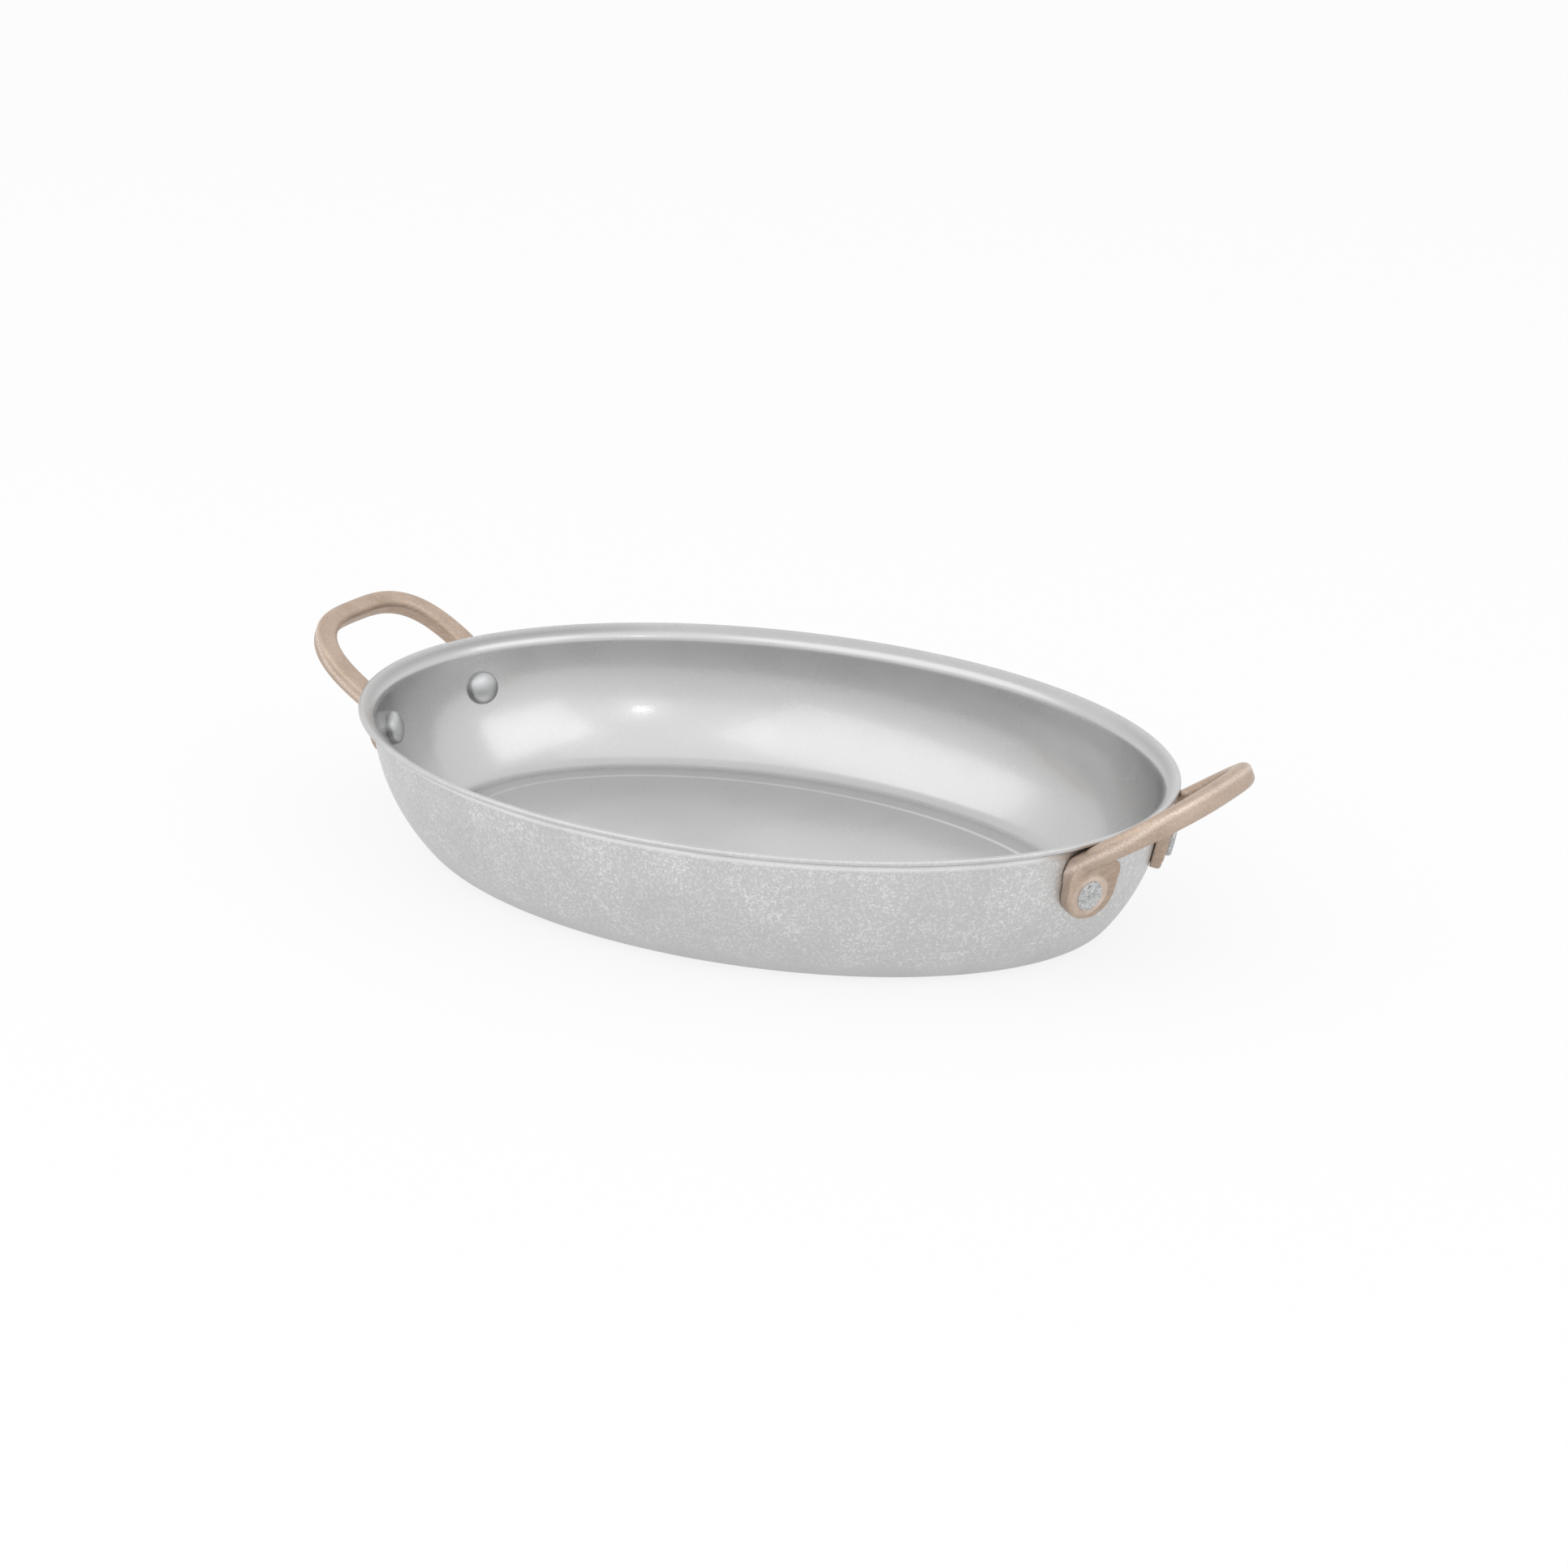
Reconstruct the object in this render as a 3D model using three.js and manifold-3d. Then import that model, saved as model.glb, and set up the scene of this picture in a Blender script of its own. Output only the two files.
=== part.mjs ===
import * as THREE from 'three';
import { mergeVertices } from 'three/addons/utils/BufferGeometryUtils.js';
import Module from 'manifold-3d';

// An oval pan: one pressed sheet with a flared lip, and a cast loop handle at each end,
// held to the wall by two rivets. Millimetres and degrees, +Z up, with the origin under
// the middle of the base and +X along the pan.

// The pan
const PAN_LENGTH = 240;
const PAN_WIDTH = 168;
const PAN_HEIGHT = 40;
const SHEET = 2;
const LIP_REACH = 6.3;      // from the inside of the wall to the lip's edge
const LIP_SLOPE = 20;       // rise of the lip above the level
const LIP_BEND = 1;         // radius under the bend between wall and lip
const WALL_LEAN = 9.6;      // how far the wall leans in between the lip and the base corner
const BASE_CORNER = 8.8;    // radius outside, between wall and base
const BASE_MARGIN = 4.3;    // level ring between the base corner and the sunk middle
const BASE_SINK = 0.4;      // depth of the sunk middle, which the pan stands on
const BASE_EASE = 1.6;      // width of the slope down to it

// The rivets
const RIVET_SPACING = 42.4;
const RIVET_DROP = 14.2;    // from the rim down to the rivets
const SHANK_DIAMETER = 5;
const DOME_DIAMETER = 9.4;  // head inside the pan
const DOME_HEIGHT = 2.5;
const DOME_EDGE = 0.7;      // straight side under the dome
const DISC_DIAMETER = 8.6;  // flat head outside
const FRONT_DISC = 0.6;     // thickness of the heads that are hammered down, at the front
const BACK_DISC = 2;        // thickness of the heads that stand proud, at the back
const DISC_BEVEL = 0.4;

// The handles
const HANDLE_TILT = 34;     // of the loop above the level
const HANDLE_RISE = 1.7;    // top of the loop's plane above the rim, over the end of the pan
const HANDLE_REACH = 23;    // along the slope, from over the end of the pan to the loop's tip
const LOOP_SQUARENESS = 3.1; // 2 would be an ellipse, more is squarer
const ROOT_WIDTH = 6.7;     // of the bar at the wall, across the loop
const ROOT_THICKNESS = 4.9;
const TIP_WIDTH = 5;        // of the bar at the loop's tip
const TIP_THICKNESS = 5.7;
const BAR_ROUND = 1.6;      // radius along the bar's edges
const EAR_RADIUS = 7;
const EAR_OFFSET = 0.7;     // from the rivet to the middle of the ear, towards the handle's middle
const EAR_THICKNESS = 3.5;
const EAR_RISE = 8;         // from the rivet up to the top of the ear
const EAR_FLARE = 1.8;      // widening of the ear's inner side towards its top
const EAR_ROUND = 1;        // along the edges of the ear's face
const EAR_CORNER = 3;       // at the top of the ear

// Clearances
const SEAT_GAP = 0.3;       // between pieces that bear on each other
const SHANK_GAP = 0.3;      // round a rivet's shank

// Smoothness
const OVAL_STEPS = 72;
const ARC_STEPS = 2;        // half the pieces of each arc in an outline or profile
const LOOP_STEPS = 32;
const BAR_ROUND_STEPS = 1;  // half the pieces of each rounded edge of the bar
const EAR_STEPS = 4;        // half the pieces of each arc round the ear
const EAR_ROUND_STEPS = 2;
const RIVET_STEPS = 20;
const TURN_TOLERANCE = 1e-9; // radians, for finding a station on the oval

const ALUMINIUM = { color: 0xc4c5c6, roughness: 0.38, metalness: 1 };
const BRONZE = { color: 0xbba999, roughness: 0.45, metalness: 1 };

const wasm = await Module();
wasm.setup();

const halfLength = PAN_LENGTH / 2;
const halfWidth = PAN_WIDTH / 2;

/** Closed geometry as a solid that can be joined and cut. */
function solidOf(geometry) {
  const bare = geometry.clone();
  bare.deleteAttribute('normal');
  bare.deleteAttribute('uv');
  const merged = mergeVertices(bare);
  return new wasm.Manifold(new wasm.Mesh({
    numProp: 3,
    vertProperties: Float32Array.from(merged.attributes.position.array),
    triVerts: Uint32Array.from(merged.index.array),
  }));
}

/** A solid's surface as geometry with normals. */
function geometryOf(solid) {
  const mesh = solid.getMesh();
  const geometry = new THREE.BufferGeometry();
  geometry.setAttribute('position', new THREE.BufferAttribute(mesh.vertProperties, mesh.numProp));
  geometry.setIndex(new THREE.BufferAttribute(mesh.triVerts, 1));
  geometry.computeVertexNormals();
  return geometry;
}

/** Skin over rings that have as many points each, with both end rings filled from their middles. */
function loft(rings) {
  const count = rings[0].length;
  const points = rings.flat();
  const triangles = [];
  for (let row = 0; row + 1 < rings.length; row++) {
    for (let step = 0; step < count; step++) {
      const here = row * count + step;
      const beside = row * count + (step + 1) % count;
      triangles.push(here, beside, beside + count, here, beside + count, here + count);
    }
  }
  for (const [ring, start] of [[rings[0], 0], [rings.at(-1), points.length - count]]) {
    const middle = points.length;
    points.push(ring.reduce((sum, point) => sum.add(point), new THREE.Vector3()).divideScalar(count));
    for (let step = 0; step < count; step++) {
      const here = start + step;
      const beside = start + (step + 1) % count;
      triangles.push(...(start === 0 ? [middle, beside, here] : [middle, here, beside]));
    }
  }
  const geometry = new THREE.BufferGeometry().setFromPoints(points);
  geometry.setIndex(triangles);
  return geometry;
}

/** Way out of the rim's oval at a station. */
function outwardAt(turn) {
  return new THREE.Vector3(Math.cos(turn) / halfLength, Math.sin(turn) / halfWidth, 0).normalize();
}

/** Point at a height, on the oval that runs a given inset inside the rim's edge. */
function ovalPoint(turn, inset, height) {
  const rim = new THREE.Vector3(halfLength * Math.cos(turn), halfWidth * Math.sin(turn), height);
  return rim.addScaledVector(outwardAt(turn), -inset);
}

/**
 * Arcs of the sheet's profile, in the plane of inset from the rim's edge and height.
 * Wall and base corner are two arcs that run into each other, the wall upright under the lip.
 */
function profileArcs() {
  const slope = THREE.MathUtils.degToRad(LIP_SLOPE);
  const edge = new THREE.Vector2(SHEET / 2, PAN_HEIGHT - SHEET / 2);
  const bendMiddle = LIP_BEND + SHEET / 2;
  const bendInset = LIP_REACH - SHEET - LIP_BEND;
  const lipFoot = bendInset + bendMiddle * Math.sin(slope);
  const lipFootHeight = edge.y - (lipFoot - edge.x) * Math.tan(slope);
  const bend = new THREE.Vector2(bendInset, lipFootHeight - bendMiddle * Math.cos(slope));

  const wallInset = LIP_REACH - SHEET;
  const baseInset = wallInset + WALL_LEAN + BASE_CORNER;
  const corner = new THREE.Vector2(baseInset, BASE_SINK + BASE_CORNER);
  const run = WALL_LEAN + BASE_CORNER;
  const rise = bend.y - corner.y;
  const wallRadius = (run ** 2 + rise ** 2 - BASE_CORNER ** 2) / (2 * WALL_LEAN);
  const wall = new THREE.Vector2(wallInset + wallRadius, bend.y);
  const join = Math.atan2(corner.y - wall.y, corner.x - wall.x) + 2 * Math.PI;
  return { slope, edge, bend, wall, wallRadius, corner, join };
}

/** Outside of the sheet from its sunk middle up to the top of the lip's edge, moved out by `growth`. */
function outsideProfile(growth) {
  const { slope, edge, bend, wall, wallRadius, corner, join } = profileArcs();
  const ring = corner.x + BASE_MARGIN;
  const path = new THREE.Path();
  path.moveTo(ring + BASE_EASE, -growth);
  path.lineTo(ring, BASE_SINK - growth);
  path.absarc(corner.x, corner.y, BASE_CORNER + growth, 1.5 * Math.PI, join, true);
  path.absarc(wall.x, wall.y, wallRadius + growth, join, Math.PI, true);
  path.absarc(bend.x, bend.y, LIP_BEND - growth, 0, Math.PI / 2 - slope, false);
  path.absarc(edge.x, edge.y, SHEET / 2 + growth, 1.5 * Math.PI - slope, Math.PI / 2 - slope, true);
  return path.getPoints(ARC_STEPS);
}

/** Inside of the sheet from the top of the lip down to the sunk middle, moved in by `growth`. */
function insideProfile(growth) {
  const { slope, bend, wall, wallRadius, corner, join } = profileArcs();
  const ring = corner.x + BASE_MARGIN;
  const thick = SHEET + growth;
  const path = new THREE.Path();
  path.absarc(bend.x, bend.y, LIP_BEND + thick, Math.PI / 2 - slope, 0, true);
  path.absarc(wall.x, wall.y, wallRadius - thick, Math.PI, join, false);
  path.absarc(corner.x, corner.y, BASE_CORNER - thick, join, 1.5 * Math.PI, false);
  path.lineTo(ring, BASE_SINK + thick);
  path.lineTo(ring + BASE_EASE, thick);
  return path.getPoints(ARC_STEPS);
}

/** Solid whose surface follows a profile all round the oval. */
function ovalSolid(profile) {
  const rings = profile.map(({ x: inset, y: height }) => Array.from(
    { length: OVAL_STEPS },
    (_, step) => ovalPoint(2 * Math.PI * step / OVAL_STEPS, inset, height),
  ));
  return solidOf(loft(rings));
}

/** The sheet, grown on both faces. */
function sheetSolid(growth) {
  return ovalSolid([...outsideProfile(growth), ...insideProfile(growth)]);
}

/** Where a rivet goes through the outside of the wall, on the side of the pan that `side` says. */
function rivetSeat(side) {
  const height = PAN_HEIGHT - RIVET_DROP;
  const outside = outsideProfile(0);
  const above = outside.findIndex((point) => point.y >= height);
  const [low, high] = [outside[above - 1], outside[above]];
  const inset = THREE.MathUtils.mapLinear(height, low.y, high.y, low.x, high.x);
  const lean = Math.atan2(low.x - high.x, high.y - low.y);

  let [near, far] = [0, Math.PI / 2];
  while (far - near > TURN_TOLERANCE) {
    const turn = (near + far) / 2;
    [near, far] = ovalPoint(turn, inset, height).y < RIVET_SPACING / 2 ? [turn, far] : [near, turn];
  }
  const turn = side * near;
  const outward = outwardAt(turn);
  const normal = outward.clone().multiplyScalar(Math.cos(lean)).setZ(-Math.sin(lean));
  const along = new THREE.Vector3(0, 0, 1).cross(outward);
  const frame = new THREE.Matrix4().makeBasis(along, normal.clone().cross(along), normal);
  return { point: ovalPoint(turn, inset, height), frame, side };
}

/** Geometry made about a rivet's axis, +Z outwards, set in its place on the wall. */
function atSeat(geometry, { point, frame }) {
  return geometry.applyMatrix4(frame).translate(point.x, point.y, point.z);
}

/** Revolve about a rivet's axis of a profile in radius and distance out of the wall. */
function turned(profile) {
  return new THREE.LatheGeometry(profile, RIVET_STEPS).rotateX(Math.PI / 2);
}

/** A rivet, its dome cut to the curve of the wall that it is pressed against. */
function rivetSolid(seat, wallCutter, discHeight) {
  const domeFoot = -SHEET - SEAT_GAP - DOME_EDGE;
  const discFoot = SEAT_GAP + EAR_THICKNESS + SEAT_GAP;
  const discTop = discFoot + discHeight;
  const path = new THREE.Path();
  path.absellipse(0, domeFoot, DOME_DIAMETER / 2, DOME_HEIGHT - DOME_EDGE, -Math.PI / 2, 0, false);
  path.lineTo(DOME_DIAMETER / 2, -SHEET / 2);
  path.lineTo(SHANK_DIAMETER / 2, -SHEET / 2);
  path.lineTo(SHANK_DIAMETER / 2, discFoot);
  path.lineTo(DISC_DIAMETER / 2, discFoot);
  path.lineTo(DISC_DIAMETER / 2, discTop - DISC_BEVEL);
  path.lineTo(DISC_DIAMETER / 2 - DISC_BEVEL, discTop);
  path.lineTo(0, discTop);
  return solidOf(atSeat(turned(path.getPoints(ARC_STEPS)), seat)).subtract(wallCutter);
}

/** Hole for a rivet's shank, through ear and wall, at the end of the pan that `turn` leads to. */
function holeSolid(seat, turn) {
  const radius = SHANK_DIAMETER / 2 + SHANK_GAP;
  const reach = SHEET + EAR_THICKNESS + SEAT_GAP;
  const hole = new THREE.CylinderGeometry(radius, radius, 2 * reach, RIVET_STEPS).rotateX(Math.PI / 2);
  return solidOf(atSeat(hole, seat).rotateZ(turn));
}

/** Solid with holes bored through it. */
function bored(solid, holes) {
  return holes.reduce((left, hole) => left.subtract(hole), solid);
}

/**
 * Ear of a handle: round under the rivet, straight outside, a little wider inside towards the bar.
 * Its stock starts inside the wall, which trims it to the seat.
 */
function earSolid(seat) {
  const innerTop = -EAR_RADIUS - EAR_FLARE;
  const cornerHeight = EAR_RISE - EAR_CORNER;
  const path = new THREE.Path();
  path.absarc(0, 0, EAR_RADIUS, Math.PI, 2 * Math.PI, false);
  path.absarc(EAR_RADIUS - EAR_CORNER, cornerHeight, EAR_CORNER, 0, Math.PI / 2, false);
  path.absarc(innerTop + EAR_CORNER, cornerHeight, EAR_CORNER, Math.PI / 2, Math.PI, false);
  const outline = path.getPoints(EAR_STEPS).map(
    ({ x, y }) => new THREE.Vector2(seat.side * (x - EAR_OFFSET), y),
  );
  const stock = SHEET + EAR_ROUND;
  const ear = new THREE.ExtrudeGeometry(new THREE.Shape(outline), {
    depth: stock + SEAT_GAP + EAR_THICKNESS - 2 * EAR_ROUND,
    bevelSize: EAR_ROUND,
    bevelOffset: -EAR_ROUND,
    bevelThickness: EAR_ROUND,
    bevelSegments: EAR_ROUND_STEPS,
  });
  return solidOf(atSeat(ear.translate(0, 0, EAR_ROUND - stock), seat));
}

/** Middle of the bar's top face, in the loop's plane: x out along the slope, y across the pan. */
class LoopCurve extends THREE.Curve {
  constructor(rootReach, tipReach, rootSpread) {
    super();
    this.rootReach = rootReach;
    this.tipReach = tipReach;
    this.rootSpread = rootSpread;
  }

  getPoint(share, target = new THREE.Vector3()) {
    const power = 2 / LOOP_SQUARENESS;
    const turn = Math.PI * share;
    const reach = THREE.MathUtils.lerp(this.rootReach, this.tipReach, Math.sin(turn) ** power);
    const spread = this.rootSpread * Math.sign(Math.cos(turn)) * Math.abs(Math.cos(turn)) ** power;
    return target.set(reach, spread, 0);
  }
}

/** Outline of the bar's section, its top face level with the loop's plane. */
function barSection(width, thickness) {
  const across = width / 2 - BAR_ROUND;
  const low = BAR_ROUND - thickness;
  const path = new THREE.Path();
  path.absarc(across, -BAR_ROUND, BAR_ROUND, 0, Math.PI / 2, false);
  path.absarc(-across, -BAR_ROUND, BAR_ROUND, Math.PI / 2, Math.PI, false);
  path.absarc(-across, low, BAR_ROUND, Math.PI, 1.5 * Math.PI, false);
  path.absarc(across, low, BAR_ROUND, 1.5 * Math.PI, 2 * Math.PI, false);
  return path.getPoints(BAR_ROUND_STEPS);
}

/**
 * Bar of a handle: an arch from ear to ear, flatter at its roots than at its tip.
 * Both roots run on into the wall by the bar's own width, and the wall trims them.
 */
function barSolid(seat) {
  const tilt = THREE.MathUtils.degToRad(HANDLE_TILT);
  const rootReach = (seat.point.x - halfLength) / Math.cos(tilt);
  const rootSpread = RIVET_SPACING / 2 + EAR_RADIUS - ROOT_WIDTH / 2;
  const curve = new LoopCurve(rootReach, HANDLE_REACH - TIP_WIDTH / 2, rootSpread);
  const rings = [];
  for (let step = 0; step <= LOOP_STEPS; step++) {
    const share = step / LOOP_STEPS;
    const nearTip = Math.sin(Math.PI * share);
    const width = THREE.MathUtils.lerp(ROOT_WIDTH, TIP_WIDTH, nearTip);
    const thickness = THREE.MathUtils.lerp(ROOT_THICKNESS, TIP_THICKNESS, nearTip);
    const middle = curve.getPointAt(share);
    const tangent = curve.getTangentAt(share);
    const across = new THREE.Vector3(-tangent.y, tangent.x, 0);
    rings.push(barSection(width, thickness).map(
      ({ x, y }) => middle.clone().addScaledVector(across, x).setZ(y),
    ));
  }
  const buried = new THREE.Vector3(-ROOT_WIDTH, 0, 0);
  rings.unshift(rings[0].map((point) => point.clone().add(buried)));
  rings.push(rings.at(-1).map((point) => point.clone().add(buried)));
  const bar = loft(rings).rotateY(-tilt).translate(halfLength, 0, PAN_HEIGHT + HANDLE_RISE);
  return solidOf(bar);
}

/** Handle for the +X end: bar and ears in one casting, bedded on the wall and bored for the rivets. */
function handleSolid(seats, holes) {
  const casting = seats.map(earSolid).reduce((joined, ear) => joined.add(ear), barSolid(seats[0]));
  return bored(casting.subtract(ovalSolid(outsideProfile(SEAT_GAP))), holes);
}

/** Named mesh with a finish of its own. */
function piece(name, solid, finish) {
  const mesh = new THREE.Mesh(geometryOf(solid), new THREE.MeshStandardMaterial(finish));
  mesh.name = name;
  return mesh;
}

/** Whole pan, with the same handle at each end, turned half round for the left one. */
function ovalPan() {
  const ends = [['right', 0], ['left', Math.PI]];
  const seats = [rivetSeat(-1), rivetSeat(1)];
  const [rightHoles, leftHoles] = ends.map(([, turn]) => seats.map((seat) => holeSolid(seat, turn)));
  const sheet = bored(sheetSolid(0), [...rightHoles, ...leftHoles]);
  const wallCutter = bored(sheetSolid(SEAT_GAP), rightHoles);
  const handle = handleSolid(seats, rightHoles);

  const pan = new THREE.Group();
  pan.add(piece('pan_body', sheet, ALUMINIUM));
  for (const [end, turn] of ends) {
    const group = new THREE.Group();
    group.rotation.z = turn;
    group.add(piece(`handle_${end}`, handle, BRONZE));
    for (const seat of seats) {
      const [row, discHeight] = seat.side * Math.cos(turn) < 0 ? ['front', FRONT_DISC] : ['back', BACK_DISC];
      group.add(piece(`rivet_${end}_${row}`, rivetSolid(seat, wallCutter, discHeight), ALUMINIUM));
    }
    pan.add(group);
  }
  return pan;
}

export default ovalPan();
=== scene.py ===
"""Oval pan: the finished surfaces of a pressed pan with riveted cast handles, made around its CAD frame."""

import functools
import itertools
import math

import bpy
import numpy as np
from bpy.props import FloatProperty, FloatVectorProperty, IntProperty, PointerProperty
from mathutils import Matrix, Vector


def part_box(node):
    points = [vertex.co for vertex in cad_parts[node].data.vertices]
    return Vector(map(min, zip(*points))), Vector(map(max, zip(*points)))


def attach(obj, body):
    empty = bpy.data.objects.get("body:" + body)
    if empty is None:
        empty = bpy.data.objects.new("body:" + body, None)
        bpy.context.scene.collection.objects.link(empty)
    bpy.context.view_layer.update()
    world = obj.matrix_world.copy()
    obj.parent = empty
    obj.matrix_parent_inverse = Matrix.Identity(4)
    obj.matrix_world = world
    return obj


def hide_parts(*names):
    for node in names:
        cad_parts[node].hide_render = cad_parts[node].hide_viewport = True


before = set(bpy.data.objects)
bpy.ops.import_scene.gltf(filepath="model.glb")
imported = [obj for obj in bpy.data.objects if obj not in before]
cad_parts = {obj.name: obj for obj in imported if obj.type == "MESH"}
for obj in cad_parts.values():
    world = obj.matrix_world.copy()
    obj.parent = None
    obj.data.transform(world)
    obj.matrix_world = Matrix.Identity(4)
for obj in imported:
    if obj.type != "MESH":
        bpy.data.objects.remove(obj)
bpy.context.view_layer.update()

bl_info = {
    "name": "Oval Pan",
    "version": (1, 0, 0),
    "blender": (4, 5, 0),
    "location": "3D View > Sidebar > Pan",
    "description": "Makes an oval pan with riveted cast handles, and the stage that it stands on",
    "category": "Object",
}

MM = 0.001
PAN_LOW, PAN_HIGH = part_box("pan_body")
BODY = "root"
SENSOR = 36.0
SIDES = (-1, 1)

# Name, azimuth and elevation in degrees, width and height in metres, and brightness of each lamp
LAMPS = (
    ("right_softbox", 82, 41, 1.0, 0.64, 0.58),
    ("left_softbox", -40, 40, 1.3, 0.72, 0.54),
    ("middle_softbox", 22, 50, 1.1, 1.0, 0.22),
    ("small_lamp", 28, 35, 0.04, 0.024, 40.0),
)

# Where the sheet's looks change: heights above the base, depths under the rim, distances from the middle
FLOOR_TOP = (2.1 * MM, 3.2 * MM)
HAIR_FOOT = (3 * MM, 9 * MM)
HAIR_TOP = (2 * MM, 3.5 * MM)
# Painted light: depths under the rim over which the outside is lightened, lifting the shade under the lip
PAINTED_LIGHT_UNDER_LIP = (3 * MM, 4.8 * MM)
EDGE_FOOT = (1.7 * MM, 2.1 * MM)
LIP_TOP = (1 * MM, 3 * MM)
# Painted light: distances from the middle over which the inside lightens towards the ends
INSIDE_LIGHT_ENDS = (60 * MM, 118 * MM)
# Painted shade: distances from the middle over which the lip's top darkens towards the ends
LIP_SHADE_ENDS = (60 * MM, 105 * MM)

# Textures: a range of a noise's tone, and the strengths or the roughness that it stands for
FADING = (1.0, 0.0)
BOTH_WAYS = (-1.0, 1.0)
TONE = (0.3, 0.7)
UNEVEN = 0.03

PAN_TONE = {"Cloud Scale": 60.0, "Grain Scale": 1500.0, "Grain Share": 0.6}
HAIRS = (
    {"Scale": 650.0, "Width": 0.045, "Coverage": 0.5},
    {"Scale": 1200.0, "Width": 0.09, "Coverage": 0.5},
)
HAIR_STRENGTH = (0.2, 0.7)
CROWD_TONE, CROWD_STRENGTH = (0.36, 0.62), (0.5, 1.0)
SPECK_SCALE, SPECK_RADIUS = 55.0, 0.016
UNEVEN_OUTSIDE = 0.04
SATIN_ROUGHNESS, ROUGHER_OUTSIDE = (0.26, 0.31), 0.13
COAT_WEIGHT, COAT_ROUGHNESS, COAT_IOR = 0.5, 0.12, 2.3
DENT_SCALE, DENT_DEPTH = 200.0, 0.04 * MM
GRAIN_BUMP, GRAIN_DEPTH = 0.12, 0.2 * MM
GRAIN_INSIDE, GRAIN_OUTSIDE = 0.2, 0.8

BRONZE_TONE = {"Cloud Scale": 130.0, "Grain Scale": 2000.0, "Grain Share": 0.6}
SKIN_TONE = (0.3, 0.65)
STROKE_SHAPE, STROKE_SCALE = (0.4, 0.4, 2.5), 700.0
STROKE_TONE, STROKE_STRENGTH = (0.4, 0.6), (0.35, 1.0)
# Wear and painted highlight: how the lightening of the bar's edges and parting line is broken up
RUB_SHEEN_TONE, RUB_SHEEN_STRENGTH = (0.3, 0.6), (0.25, 0.95)
FLECK_TONE, FLECK_STRENGTH = (0.62, 0.72), (0.0, 0.4)
POLISH_TONE, POLISH_STRENGTH = (0.35, 0.65), (0.2, 0.7)
BRONZE_ROUGHNESS = (0.4, 0.5)
CAST_BUMP, CAST_DEPTH = 0.25, 0.2 * MM

RIVET_TONE = {"Cloud Scale": 500.0, "Grain Scale": 1500.0, "Grain Share": 0.7}
FACE_TONE = (0.36, 0.64)
DOME_FOOT_SHADE, PIT_SHADE = 0.25, 0.55
UNEVEN_FACE = 0.24
DOME_ROUGHNESS, ROUGHER_FACE = 0.34, 0.12
FACE_BUMP, FACE_DEPTH = 0.5, 0.3 * MM

# Small forms: the hammer's pits (across, up, radius), which are also darkened as painted shade, the painted
# shade ring round the domes' feet, and where wear with painted highlight, the parting line and the painted
# shade of the bar's inner side show
PITS = ((-0.5 * MM, 0.1 * MM, 0.6 * MM), (-0.6 * MM, 3.1 * MM, 0.5 * MM))
PIT_FLOOR = 0.2
FACE_RUN = 0.4 * MM
# Painted shade: radii of the ring round each dome's foot that is darkened
DOME_SHADE_RING = (3.9 * MM, 4.7 * MM)
RING_RUN = 0.5 * MM
# Wear and painted highlight: half width of the lightened band along the parting line
RIDGE_SHEEN_REACH = 1.1 * MM
CLIMB_FROM, CLIMB_RUN = 0.45, 0.4
# File strokes and painted shade: where the bar's inner side starts to darken
FILED_SHADE_FROM, FILED_SHADE_RUN = 0.3, 0.15
SHARP_CELLS, SHARP_FROM, SHARP_RUN = 3, 0.35, 0.5

# How finely things are worked out
SHEET_WELD, RIVET_WELD = 0.01 * MM, 0.005 * MM
HEAD_STEPS = 12
BAR_STEPS, BURIED_STEPS = 800, 60
SEAT_TRIES, OVAL_TRIES = 48, 3
MARGIN_CELLS = 4


def size(name, millimetres, description):
    """A length that the sidebar shows, given in millimetres."""
    return FloatProperty(
        name=name, description=description, default=millimetres * MM,
        unit="LENGTH", subtype="DISTANCE", precision=5,
    )


def angle(name, degrees, description):
    """An angle that the sidebar shows, given in degrees."""
    return FloatProperty(
        name=name, description=description, default=math.radians(degrees),
        unit="ROTATION", subtype="ANGLE",
    )


def share(name, value, description):
    """A plain number that the sidebar shows."""
    return FloatProperty(name=name, description=description, default=value, subtype="FACTOR")


def colour(name, value, description):
    """A colour that the sidebar shows."""
    return FloatVectorProperty(
        name=name, description=description, default=value, min=0, max=1, subtype="COLOR",
    )


class PanSizes(bpy.types.PropertyGroup):
    """Sizes of the pressed sheet"""

    length: size("Length", round((PAN_HIGH.x - PAN_LOW.x) / MM), "Along the rim")
    width: size("Width", round((PAN_HIGH.y - PAN_LOW.y) / MM), "Across the rim")
    height: size("Height", round(PAN_HIGH.z / MM), "From the base to the rim")
    sheet: size("Sheet", 2, "Thickness of the metal at the base")
    wall_sheet: size("Wall sheet", 1.2, "Thickness of the metal at the top of the wall")
    lip_sheet: size("Lip sheet", 1.6, "Thickness of the metal at the lip")
    lip_reach: size("Lip reach", 5, "From the top of the wall, inside, to the lip's edge")
    lip_slope: angle("Lip slope", 30, "Rise of the lip above the level")
    lip_bend: size("Lip bend", 4.2, "Radius inside, between wall and lip")
    lip_ease: size("Lip ease", 3.5, "Radius outside, under the lip")
    edge_round: size("Edge rounding", 0.85, "Radius along the top of the lip's edge")
    edge_ease: size("Edge ease", 0.5, "Radius along the bottom of the lip's edge")
    wall_tilt: angle("Wall tilt", 2.5, "Lean of the wall's top out of the upright")
    corner_inset: size("Corner inset", 22.7, "From the rim's edge to the middle of the base corner's arc")
    base_corner: size("Base corner", 8.8, "Radius outside, between wall and base")
    base_margin: size("Base margin", 4.3, "Level ring between the base corner and the sunk middle")
    base_sink: size("Base sink", 0.3, "Depth of the sunk middle")
    base_ease: size("Base ease", 1.6, "Width of the slope down to the sunk middle")
    arc_steps: IntProperty(name="Arc steps", description="Pieces of each arc", default=14, min=2)
    oval_steps: IntProperty(name="Oval steps", description="Pieces round the rim", default=288, min=16)


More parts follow.
